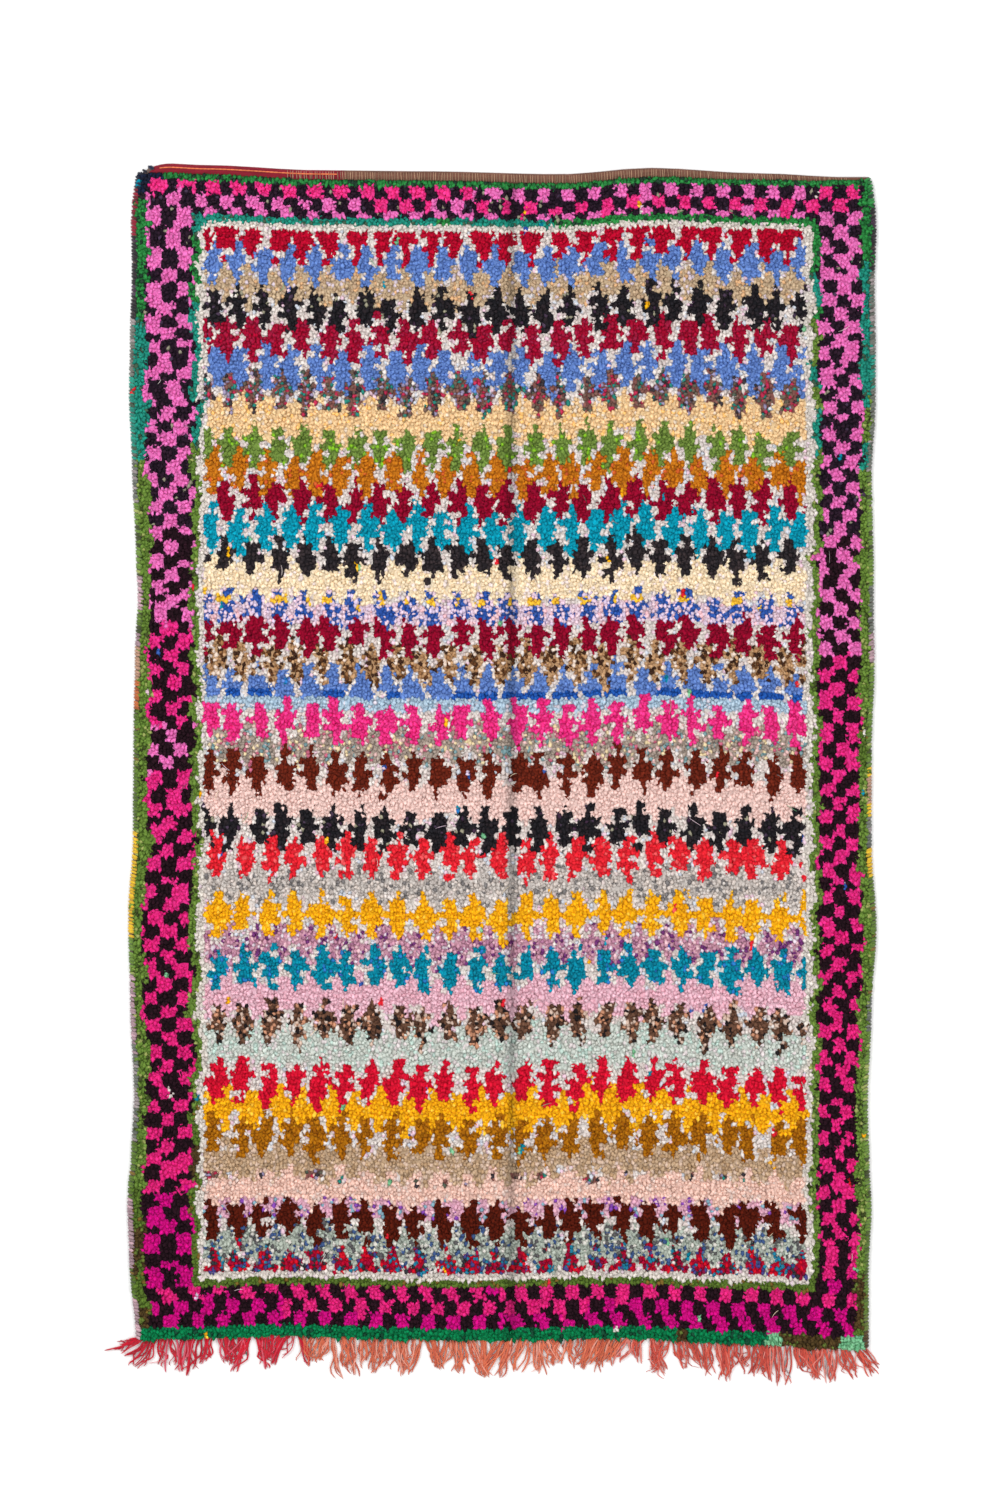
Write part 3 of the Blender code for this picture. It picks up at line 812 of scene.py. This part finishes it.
def make_bed():
    """Packed lower part of the pile: a block with one facet of colour to every knot."""
    across = np.concatenate([[0.0], np.cumsum(column_pitches)])[None, :].repeat(ROWS + 1, 0)
    down = np.concatenate([[0.0], np.cumsum(row_pitches)])[:, None].repeat(COLUMNS + 1, 1)
    across = across.ravel()
    down = down.ravel()
    x, y = place(across, 1 - down)
    z = bed_level(across, down, x)
    inner = (across > 0) & (across < 1) & (down > 0) & (down < 1)
    x = x + inner * draw.normal(0.0, 0.0016, len(x))
    y = y + inner * draw.normal(0.0, 0.0030, len(y))
    corner = np.arange(len(x)).reshape(ROWS + 1, COLUMNS + 1)
    facets = np.stack([corner[:-1, :-1], corner[1:, :-1], corner[1:, 1:], corner[:-1, 1:]], 2)
    rim = np.concatenate([corner[0, :-1], corner[:-1, -1], corner[-1, :0:-1], corner[:0:-1, 0]])
    low = len(x) + np.arange(len(rim))
    walls = np.stack([rim, np.roll(rim, -1), np.roll(low, -1), low], 1)
    points = np.concatenate([
        np.stack([x, y, z], 1),
        np.stack([x[rim], y[rim], np.full(len(rim), BED_FLOOR)], 1),
    ])
    faces = facets.reshape(-1, 4).tolist() + walls.tolist() + [low.tolist()]
    mesh = bpy.data.meshes.new("pile_bed")
    mesh.from_pydata(points.tolist(), [], faces)
    colors = np.tile(MAINS[yarn("cream")], (len(mesh.loops), 1))
    # Painted shade: the bed, seen only in the gaps between ends, is painted darker than its knots' yarn.
    colors[:4 * chart.size] = BED_PAINTED_SHADE * MAINS[chart.ravel()].repeat(4, 0)
    # The bed is painted darker along the fold too, as painted shade.
    colors[:4 * chart.size] *= painted_fold_shade(x[facets.reshape(-1)])[:, None]
    paint(mesh, colors, "CORNER")
    layout = mesh.uv_layers.new(name="yarn run")
    spots = points[[loop.vertex_index for loop in mesh.loops], :2] / BED_GRAIN
    layout.data.foreach_set("uv", spots.astype(np.float32).ravel())
    mesh.materials.append(pile_wool)
    bed = bpy.data.objects.new("pile_bed", mesh)
    bpy.context.scene.collection.objects.link(bed)
    return bed


FIELD_PIECES = 4
field_share = (row - FIRST_FIELD_ROW) * FIELD_PIECES // int((row_zones == FIELD).sum())
field_rows = np.clip(field_share, 0, FIELD_PIECES - 1)
pile_pieces = [
    make_bed(),
    tuft("check_pile", zone == CHECKS),
    tuft("guard_pile", (zone != CHECKS) & (zone != FIELD)),
]
for part in range(FIELD_PIECES):
    pile_pieces.append(tuft(f"field_pile_{part + 1}", (zone == FIELD) & (field_rows == part)))

# A few thin ends of thread have come loose and lie on the pile.
LOOSE_THREADS = 70
THREAD_RADIUS = 0.0007
THREAD_LEVEL = 0.0155
THREAD_ARCH = 0.0060
THREAD_YARNS = [yarn(name) for name in ("cream", "mint", "pale yellow", "slate", "lilac pink")]


def scatter_threads():
    """Loose threads, each in its own bend, over the whole pile."""
    across, along = draw.uniform(0.02, 0.98, (2, LOOSE_THREADS))
    x, y = place(across, along)
    angle = draw.uniform(0.0, 2 * math.pi, LOOSE_THREADS)
    length = draw.uniform(0.012, 0.030, LOOSE_THREADS)
    roots = np.stack([x, y, np.full(LOOSE_THREADS, THREAD_LEVEL)], 1)
    run = np.stack([length * np.cos(angle), length * np.sin(angle), 0 * length], 1)
    bends = roots + run / 2 + draw.normal(0.0, 0.004, run.shape) * [1.0, 1.0, 0.0]
    bends[:, 2] += THREAD_ARCH
    yarns = draw.choice(THREAD_YARNS, LOOSE_THREADS)
    radii = np.full(LOOSE_THREADS, THREAD_RADIUS)
    thread = model_bud("thread", 3, [(0.0, 0.6), (0.3, 1.0), (0.6, 1.0), (0.85, 0.8), (1.0, 0.0)])
    return lay_ends(
        "loose_threads", thread, roots, bends, roots + run, radii, dye_ends(yarns, 1), pile_wool
    )


pile_pieces.append(scatter_threads())
for piece in pile_pieces:
    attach(piece, "root")


# ---- the woven ground ------------------------------------------------------------------
# One cloth of wool warps and rag wefts that carries the knots. Between two rows of knots
# run several shots of weft, so the back shows weft ribs with lines of knot backs.
GROUND_THICKNESS = 0.0026
GROUND_COLUMNS = 20
GROUND_ROWS = 88
GROUND_RIB = 0.0034            # from one weft to the next
KNOT_ROW = 0.0136              # from one row of knots to the next
KNOT_WIDTH = 0.0065


def make_ground():
    """The cloth as a thin closed sheet, flat on the floor, coloured by its rows of knots."""
    bpy.ops.object.select_all(action="DESELECT")
    bpy.ops.mesh.primitive_grid_add(
        x_subdivisions=GROUND_COLUMNS, y_subdivisions=GROUND_ROWS, size=1
    )
    ground = bpy.context.object
    ground.name = "woven_ground"
    corners = np.array([corner.co for corner in ground.data.vertices])
    across = corners[:, 0] + 0.5
    along = corners[:, 1] + 0.5
    x, y = place(across, along)
    level = np.full(len(x), GROUND_THICKNESS)
    ground.data.vertices.foreach_set("co", np.stack([x, y, level], 1).ravel())
    knot_row = np.clip(((1 - along) * ROWS).astype(int), 0, ROWS - 1)
    knot_column = np.clip((across * COLUMNS).astype(int), 0, COLUMNS - 1)
    paint(ground.data, MAINS[chart[knot_row, knot_column]])
    body = ground.modifiers.new("thickness", "SOLIDIFY")
    body.thickness = GROUND_THICKNESS
    body.offset = -1.0
    bpy.ops.object.modifier_apply(modifier=body.name)
    back = np.array([corner.co.z < GROUND_THICKNESS / 2 for corner in ground.data.vertices])
    mask = ground.data.attributes.new(name="back", type="FLOAT", domain="POINT")
    mask.data.foreach_set("value", back.astype(np.float32))
    return ground


def ground_material():
    """Knots' dyed feet on the face; ribs of undyed weft with dyed nubs on the back."""
    material = bpy.data.materials.new("woven ground")
    material.use_nodes = True
    tree = material.node_tree
    shader = tree.nodes["Principled BSDF"]
    fill(shader, {"Roughness": 0.95, "Specular IOR Level": 0.1})
    place_on = node(tree, "ShaderNodeTexCoord", (-1300, 0))
    dye = node(tree, "ShaderNodeAttribute", (-700, 300), attribute_name="dye")
    wave = "ShaderNodeTexWave"
    spacing = {"ribs": GROUND_RIB, "rows": KNOT_ROW, "knots": KNOT_WIDTH}
    scales = {name: math.pi / (10 * length) for name, length in spacing.items()}
    ribs = node(tree, wave, (-900, -200), {"Scale": scales["ribs"]}, bands_direction="Y")
    fill(ribs, {"Distortion": 0.8, "Detail Scale": 30.0})
    rows = node(tree, wave, (-900, 60), {"Scale": scales["rows"]}, bands_direction="Y")
    fill(rows, {"Distortion": 0.6, "Detail Scale": 12.0})
    knots = node(tree, wave, (-900, -460), {"Scale": scales["knots"]}, bands_direction="X")
    wefts = node(tree, "ShaderNodeTexNoise", (-900, -720), {"Scale": 60.0})
    nubs = node(tree, "ShaderNodeMath", (-650, 0), operation="MULTIPLY")
    share = node(tree, "ShaderNodeMapRange", (-450, 0), {"From Min": 0.30, "From Max": 0.55})
    wool_dyes = {"A": (*linear((188, 170, 148)), 1.0), "B": (*linear((120, 96, 82)), 1.0)}
    wool = node(tree, "ShaderNodeMix", (-450, 260), wool_dyes, data_type="RGBA")
    mixed = node(tree, "ShaderNodeMix", (-220, 160), data_type="RGBA")
    back = node(tree, "ShaderNodeAttribute", (-450, 460), attribute_name="back")
    face = node(tree, "ShaderNodeMix", (-20, 260), data_type="RGBA")
    height = node(tree, "ShaderNodeMath", (-450, -300), operation="ADD")
    bump = node(tree, "ShaderNodeBump", (-220, -200), {"Strength": 0.7, "Distance": 0.0012})
    link = tree.links.new
    for texture in (ribs, rows, knots, wefts):
        link(place_on.outputs["Object"], texture.inputs["Vector"])
    link(rows.outputs["Fac"], nubs.inputs[0])
    link(knots.outputs["Fac"], nubs.inputs[1])
    link(nubs.outputs["Value"], share.inputs["Value"])
    link(wefts.outputs["Fac"], wool.inputs["Factor"])
    link(share.outputs["Result"], mixed.inputs["Factor"])
    link(wool.outputs["Result"], mixed.inputs["A"])
    link(dye.outputs["Color"], mixed.inputs["B"])
    link(back.outputs["Fac"], face.inputs["Factor"])
    link(dye.outputs["Color"], face.inputs["A"])
    link(mixed.outputs["Result"], face.inputs["B"])
    link(face.outputs["Result"], shader.inputs["Base Color"])
    link(ribs.outputs["Fac"], height.inputs[0])
    link(nubs.outputs["Value"], height.inputs[1])
    link(height.outputs["Value"], bump.inputs["Height"])
    link(bump.outputs["Normal"], shader.inputs["Normal"])
    return material


ground = make_ground()
ground.data.materials.append(ground_material())
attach(ground, "root")
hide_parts("rug")


# ---- the selvedges ---------------------------------------------------------------------
# The outermost warps, bundled and wound with rag yarn in whatever colour was at hand. The
# core is one cord down each side; the windings lie over it at a slant, side by side.
SELVEDGE_LEFT = [
    Change(0.00, "navy"), Change(0.02, "maroon"), Change(0.06, "black"), Change(0.13, "slate"),
    Change(0.18, "teal"), Change(0.25, "slate"), Change(0.29, "moss"), Change(0.35, "mauve"),
    Change(0.38, "moss"), Change(0.40, "mauve"), Change(0.41, "sand"), Change(0.438, "rust"),
    Change(0.465, "olive"), Change(0.567, "yellow"), Change(0.655, "moss"),
    Change(0.69, "mauve"), Change(0.75, "slate"),
    Change(0.83, "olive"), Change(0.88, "mauve"), Change(0.94, "olive"), Change(0.965, "mauve"),
]
SELVEDGE_RIGHT = [
    Change(0.00, "bright green"), Change(0.02, "black"), Change(0.08, "slate"),
    Change(0.15, "teal"), Change(0.18, "slate"), Change(0.25, "moss"), Change(0.35, "slate"),
    Change(0.39, "mauve"), Change(0.412, "moss"), Change(0.504, "yellow"), Change(0.511, "sand"),
    Change(0.539, "yellow"), Change(0.545, "slate"), Change(0.571, "yellow"),
    Change(0.60, "olive"), Change(0.70, "slate"), Change(0.73, "moss"),
    Change(0.90, "olive"), Change(0.97, "bark"),
]
WINDING_PITCH = 0.0068
WINDING_RADIUS = 0.0036
WINDING_SLANT = 0.0050
CORE_RADIUS = 0.0044
TURN_LENGTH = 0.030            # the top corners are rounded over this length
WINDING_RISE = 0.0110          # arch of a winding over the core

selvedge_wool = yarn_material("selvedge rag yarn", 8.0, 2.4, 0.25, 0.6, 0.92, 0.2)
winding_bud = model_bud(
    "winding", 4, [(0.0, 0.75), (0.2, 0.95), (0.5, 1.0), (0.8, 0.95), (1.0, 0.0)]
)


def lay_core(name, xs, ys, height, color, material):
    """A cord along a line of points on the floor: eight sides, closed flat at both ends."""
    line = bpy.data.curves.new(name, "CURVE")
    line.dimensions = "3D"
    line.bevel_depth = CORE_RADIUS
    line.bevel_resolution = 2
    line.use_fill_caps = True
    spline = line.splines.new("POLY")
    spline.points.add(len(xs) - 1)
    for point, x, y in zip(spline.points, xs, ys):
        point.co = (x, y, height, 1.0)
    core = bpy.data.objects.new(name, line)
    bpy.context.scene.collection.objects.link(core)
    bpy.ops.object.select_all(action="DESELECT")
    core.select_set(True)
    bpy.context.view_layer.objects.active = core
    bpy.ops.object.convert(target="MESH")
    core = bpy.context.object
    paint(core.data, np.tile(color, (len(core.data.vertices), 1)))
    core.data.uv_layers.new(name="yarn run")
    core.data.materials.clear()
    core.data.materials.append(material)
    return core


def join(name, pieces):
    """Join pieces into the first, and name it."""
    bpy.ops.object.select_all(action="DESELECT")
    for piece in pieces:
        piece.select_set(True)
    bpy.context.view_layer.objects.active = pieces[0]
    bpy.ops.object.join()
    joined = bpy.context.object
    joined.name = name
    joined.data.name = name
    bpy.ops.object.shade_smooth()
    return joined


def turned_in(y, top, turn):
    """How far a selvedge has turned in near its top end, which rounds off the corner."""
    return turn * np.clip(1 - (top - y) / TURN_LENGTH, 0, 1) ** 2


def wind_selvedge(name, node_name, ridge, changes, side, turn):
    """One selvedge: its core and its windings, joined; it turns in at the top corner."""
    low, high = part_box(node_name)
    ys = np.linspace(low.y + 0.004, high.y - 0.004, 90)
    xs = np.interp(ys, *ridge) + turned_in(ys, high.y, -side * turn)
    core = lay_core(name + "_core", xs, ys, CORE_RADIUS, linear((96, 78, 70)), selvedge_wool)
    count = int((high.y - low.y) / WINDING_PITCH)
    y = np.linspace(high.y - 0.006, low.y + 0.006, count) + draw.normal(0.0, 0.0008, count)
    x = np.interp(y, *ridge) + turned_in(y, high.y, -side * turn)
    yarns = taken_up(changes, (high.y - y) / (high.y - low.y))
    out = side * (RIDGE_TO_OUTSIDE - 0.0015)
    inward = -side * (RIDGE_TO_BODY + 0.0015)
    jitter = draw.normal(0.0, 0.0007, (count, 3))
    roots = np.stack([x + out, y + WINDING_SLANT / 2, np.full(count, 0.0036)], 1)
    tips = np.stack([x + inward, y - WINDING_SLANT / 2, np.full(count, 0.0060)], 1) + jitter
    bends = (roots + tips) / 2 + [[0.0, 0.0, WINDING_RISE]]
    radii = WINDING_RADIUS * draw.uniform(0.85, 1.15, count)
    colors = dye_ends(yarns, 3)
    windings = lay_ends(
        name + "_windings", winding_bud, roots, bends, tips, radii, colors, selvedge_wool
    )
    return join(name, [windings, core])


selvedges = [
    wind_selvedge("selvedge_wrap_left", "selvedge_left", left_ridge, SELVEDGE_LEFT, -1, 0.024),
    wind_selvedge("selvedge_wrap_right", "selvedge_right", right_ridge, SELVEDGE_RIGHT, 1, 0.006),
]
for piece, cad_name in zip(selvedges, ("selvedge_left", "selvedge_right")):
    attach(piece, "root")
    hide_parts(cad_name)


# ---- the end band ----------------------------------------------------------------------
# A strip of plain, weft-faced weave that ends the rug at the top. It is rolled over and
# overcast with thin pale yarn; the left part is dark red, with an orange cord on its edge.
BAND_DEPTH = 0.021
BAND_HEIGHT = 0.0072
BAND_STEPS = 120
BAND_CORNER = -0.712           # its left end, where its open edge drops to round the corner
CORNER_LENGTH = 0.045
CORNER_DROP = 0.010
DARK_RED_END = 0.27            # share of the width where the red rag gives way to brown
STITCH_PITCH = 0.0056
STITCH_RISE = 0.0062
BAND_FOOT = 0.0022             # level of the band's edges
BAND_CLOTH = 0.0020
CORD_SHARE = 0.40              # where the orange cord lies over the band's depth
CORD_STEPS = 46

band_wool = yarn_material("end band wool", 30.0, 3.0, 0.22, 0.6, 0.92, 0.1)


def band_line(share_down, xs):
    """Y of a line along the end band, 0 at the open edge and 1 at the knotted body."""
    open_edge = np.interp(xs, *top_end) + BAND_DEPTH
    from_corner = (xs - BAND_CORNER) / CORNER_LENGTH
    open_edge = open_edge - CORNER_DROP * np.clip(1 - from_corner, 0, 1) ** 2
    return open_edge + (np.interp(xs, *pile_end) - open_edge) * share_down


def make_band():
    """The rolled strip: a grid shaped over its width, thickened to a closed sheet."""
    bpy.ops.object.select_all(action="DESELECT")
    bpy.ops.mesh.primitive_grid_add(x_subdivisions=BAND_STEPS, y_subdivisions=8, size=1)
    band = bpy.context.object
    band.name = "end_band_weave"
    corners = np.array([corner.co for corner in band.data.vertices])
    right = float(np.interp(body_top, *right_ridge)) - 0.001
    x = BAND_CORNER + (right - BAND_CORNER) * (corners[:, 0] + 0.5)
    share = corners[:, 1] + 0.5
    y = band_line(1 - share, x)
    crown = np.sin(math.pi * np.clip(share, 0.06, 0.94)) ** 0.5
    z = BAND_FOOT + (BAND_HEIGHT - BAND_FOOT) * crown
    band.data.vertices.foreach_set("co", np.stack([x, y, z], 1).ravel())
    red = (corners[:, 0] + 0.5) < DARK_RED_END
    color = np.where(red[:, None], linear((128, 22, 40)), linear((112, 74, 60)))
    worn = draw.uniform(0.8, 1.1, (len(x), 1))
    paint(band.data, color * worn)
    band.data.uv_layers.active.name = "yarn run"
    solid = band.modifiers.new("thickness", "SOLIDIFY")
    solid.thickness = BAND_CLOTH
    solid.offset = -1.0
    bpy.ops.object.modifier_apply(modifier=solid.name)
    band.data.materials.append(band_wool)
    bpy.ops.object.shade_smooth()
    return band


def make_stitches():
    """Overcast stitches over the band, from its open edge to the first row of knots."""
    x = np.arange(-0.43, 0.71, STITCH_PITCH)
    x = x + draw.normal(0.0, 0.0009, len(x))
    count = len(x)
    z = np.full(count, 0.0050)
    roots = np.stack([x, band_line(0.06, x), z - 0.001], 1)
    tips = np.stack([x + draw.normal(0.001, 0.0012, count), band_line(1.0, x), z + 0.001], 1)
    bends = (roots + tips) / 2 + [[0.0, 0.0, STITCH_RISE]]
    colors = np.tile(linear((176, 140, 112)), (count, 1)) * draw.uniform(0.55, 1.1, (count, 1))
    radii = np.full(count, 0.0009)
    return lay_ends("overcast", winding_bud, roots, bends, tips, radii, colors, band_wool)


def make_edge_cord():
    """Thin orange cord laid along the dark red part of the end band."""
    x = np.linspace(-0.690, -0.33, CORD_STEPS)
    roots = np.stack([x[:-1], band_line(CORD_SHARE, x[:-1]), np.full(len(x) - 1, 0.0078)], 1)
    tips = np.stack([x[1:] + 0.002, band_line(CORD_SHARE, x[1:]), np.full(len(x) - 1, 0.0082)], 1)
    bends = (roots + tips) / 2 + [[0.0, 0.0, 0.0008]]
    count = len(roots)
    colors = np.tile(linear((232, 120, 74)), (count, 1)) * draw.uniform(0.85, 1.1, (count, 1))
    radii = np.full(count, 0.0015)
    return lay_ends("edge_cord", winding_bud, roots, bends, tips, radii, colors, band_wool)


band_piece = make_band()
stitches = make_stitches()
edge_cord = make_edge_cord()
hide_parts("end_band")
band_pieces = [band_piece, stitches, edge_cord]
for piece in band_pieces:
    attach(piece, "root")


# ---- the fringe ------------------------------------------------------------------------
# The warps run on past the last row of knots as loose ends, a hand's breadth long. They
# hang together in clumps, crimson near the left corner and salmon beyond it.
FRINGE_LENGTH = 0.069
CLUMPS = 56
STRANDS_PER_CLUMP = 11
STRAND_RADIUS = 0.0019
CRIMSON_END = -0.398           # crimson warps left of here, salmon ones to the right,
CORAL_START = 0.26             # and redder ones beyond this
LEFT_SPLAY = 0.050             # how far the last clumps lean out past each side,
RIGHT_SPLAY = 0.034
SPLAY_REACH = 0.045            # and how far in from the side that lean fades away
LOOSE_SHARE = 0.30             # strands that go their own way

fringe_wool = yarn_material("fringe wool", 5.0, 9.0, 0.25, 0.6, 0.9, 0.2)
STRAND_RINGS = [
    (0.0, 0.80), (0.12, 0.95), (0.25, 1.0), (0.38, 1.0), (0.50, 1.0), (0.62, 1.0), (0.74, 0.95),
    (0.86, 0.85), (0.95, 0.65), (1.0, 0.0),
]
fringe_bud = model_bud("fringe strand", 4, STRAND_RINGS)


def make_fringe():
    """Loose warp ends, clump by clump, on the floor below the last row of knots."""
    left = float(np.interp(body_bottom, *left_ridge)) - 0.002
    right = float(np.interp(body_bottom, *right_ridge)) + 0.002
    spacing = (right - left) / CLUMPS
    seams = left + spacing * (np.arange(CLUMPS + 1) + draw.uniform(-0.38, 0.38, CLUMPS + 1))
    seams[[0, -1]] = left, right
    clump = np.arange(CLUMPS).repeat(STRANDS_PER_CLUMP)
    count = len(clump)
    widths = np.diff(seams)[clump]
    start = seams[clump] + widths * draw.uniform(0.0, 1.0, count)
    centre = seams[clump] + widths / 2
    near_left = np.exp(-(((start - left) / SPLAY_REACH) ** 2))
    near_right = np.exp(-(((right - start) / SPLAY_REACH) ** 2))
    splay = RIGHT_SPLAY * near_right - LEFT_SPLAY * near_left
    loose = draw.random(count) < LOOSE_SHARE
    gather = np.where(loose, 0.0, draw.uniform(0.35, 0.95, CLUMPS)[clump])
    clump_lean = draw.normal(0.0, 0.015, CLUMPS)[clump] * (1 - near_left) * (1 - near_right)
    reach = FRINGE_LENGTH * draw.uniform(0.68, 1.18, CLUMPS)[clump]
    reach = reach * draw.uniform(0.66, 1.08, count) - 0.60 * np.abs(splay)
    end = centre + (start - centre) * (1 - gather) + splay + clump_lean
    end = end + draw.normal(0.0, 0.0030, count) + loose * draw.normal(0.0, 0.012, count)
    edge = np.interp(start, *bottom_end)
    roots = np.stack([start, edge + 0.004, np.full(count, 0.0030)], 1)
    tips = np.stack([end, edge - reach, draw.uniform(0.0018, 0.0035, count)], 1)
    bends = (roots + tips) / 2
    bends[:, 0] += draw.normal(0.0, 0.009, count) - 0.2 * (end - start)
    bends[:, 2] = draw.uniform(0.0030, 0.0090, count)
    sways = np.stack([
        draw.normal(0.0, 0.0065, count), draw.uniform(0.6, 2.0, count), draw.uniform(0.0, 6.3, count)
    ], 1)
    near = start + draw.normal(0.0, 0.006, count)
    yarns = np.where(near < CORAL_START, yarn("salmon cord"), yarn("coral cord"))
    yarns = np.where(near < CRIMSON_END, yarn("crimson cord"), yarns)
    yarns = np.where(draw.random(count) < 0.006, yarn("slate"), yarns)
    colors = dye_ends(yarns, 2)
    radii = STRAND_RADIUS * draw.uniform(0.65, 1.20, count)
    return lay_ends(
        "fringe_strands", fringe_bud, roots, bends, tips, radii, colors, fringe_wool, sways=sways
    )


fringe = make_fringe()
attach(fringe, "root")
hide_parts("fringe")


# ---- floor, light and camera -----------------------------------------------------------
# A plain pale studio floor under even, soft light, seen from straight above.
bpy.ops.object.select_all(action="DESELECT")
bpy.ops.mesh.primitive_plane_add(size=14.0, location=(0.0, 0.0, -0.0002))
floor = bpy.context.object
floor.name = "floor"
floor_paint = bpy.data.materials.new("pale floor")
floor_paint.use_nodes = True
floor_shader = floor_paint.node_tree.nodes["Principled BSDF"]
fill(floor_shader, {"Base Color": (0.93, 0.93, 0.93, 1.0), "Roughness": 0.9})
floor.data.materials.append(floor_paint)

world = bpy.data.worlds.new("studio")
world.use_nodes = True
fill(world.node_tree.nodes["Background"], {"Color": (1.0, 1.0, 1.0, 1.0), "Strength": 0.72})
bpy.context.scene.world = world

SoftBox = namedtuple("SoftBox", "name place size power")
SOFT_BOXES = [
    SoftBox("key light", (-2.6, 2.4, 4.6), 3.0, 172.0),
    SoftBox("fill light", (2.8, -1.6, 4.8), 3.6, 100.0),
]
for soft_box in SOFT_BOXES:
    lamp = bpy.data.lights.new(soft_box.name, "AREA")
    lamp.energy = soft_box.power
    lamp.size = soft_box.size
    holder = bpy.data.objects.new(soft_box.name, lamp)
    holder.location = soft_box.place
    holder.rotation_euler = (-Vector(soft_box.place)).to_track_quat("-Z", "Y").to_euler()
    bpy.context.scene.collection.objects.link(holder)

CAMERA_HEIGHT = 9.0
VIEW_HEIGHT = 3.05             # metres of floor from the top to the bottom of the image
SENSOR = 36.0
camera_data = bpy.data.cameras.new("camera")
camera_data.sensor_width = SENSOR
camera_data.lens = SENSOR * CAMERA_HEIGHT / VIEW_HEIGHT
camera = bpy.data.objects.new("camera", camera_data)
camera.location = (0.002, 0.053, CAMERA_HEIGHT)
bpy.context.scene.collection.objects.link(camera)
bpy.context.scene.camera = camera
bpy.context.scene.view_settings.view_transform = "Standard"
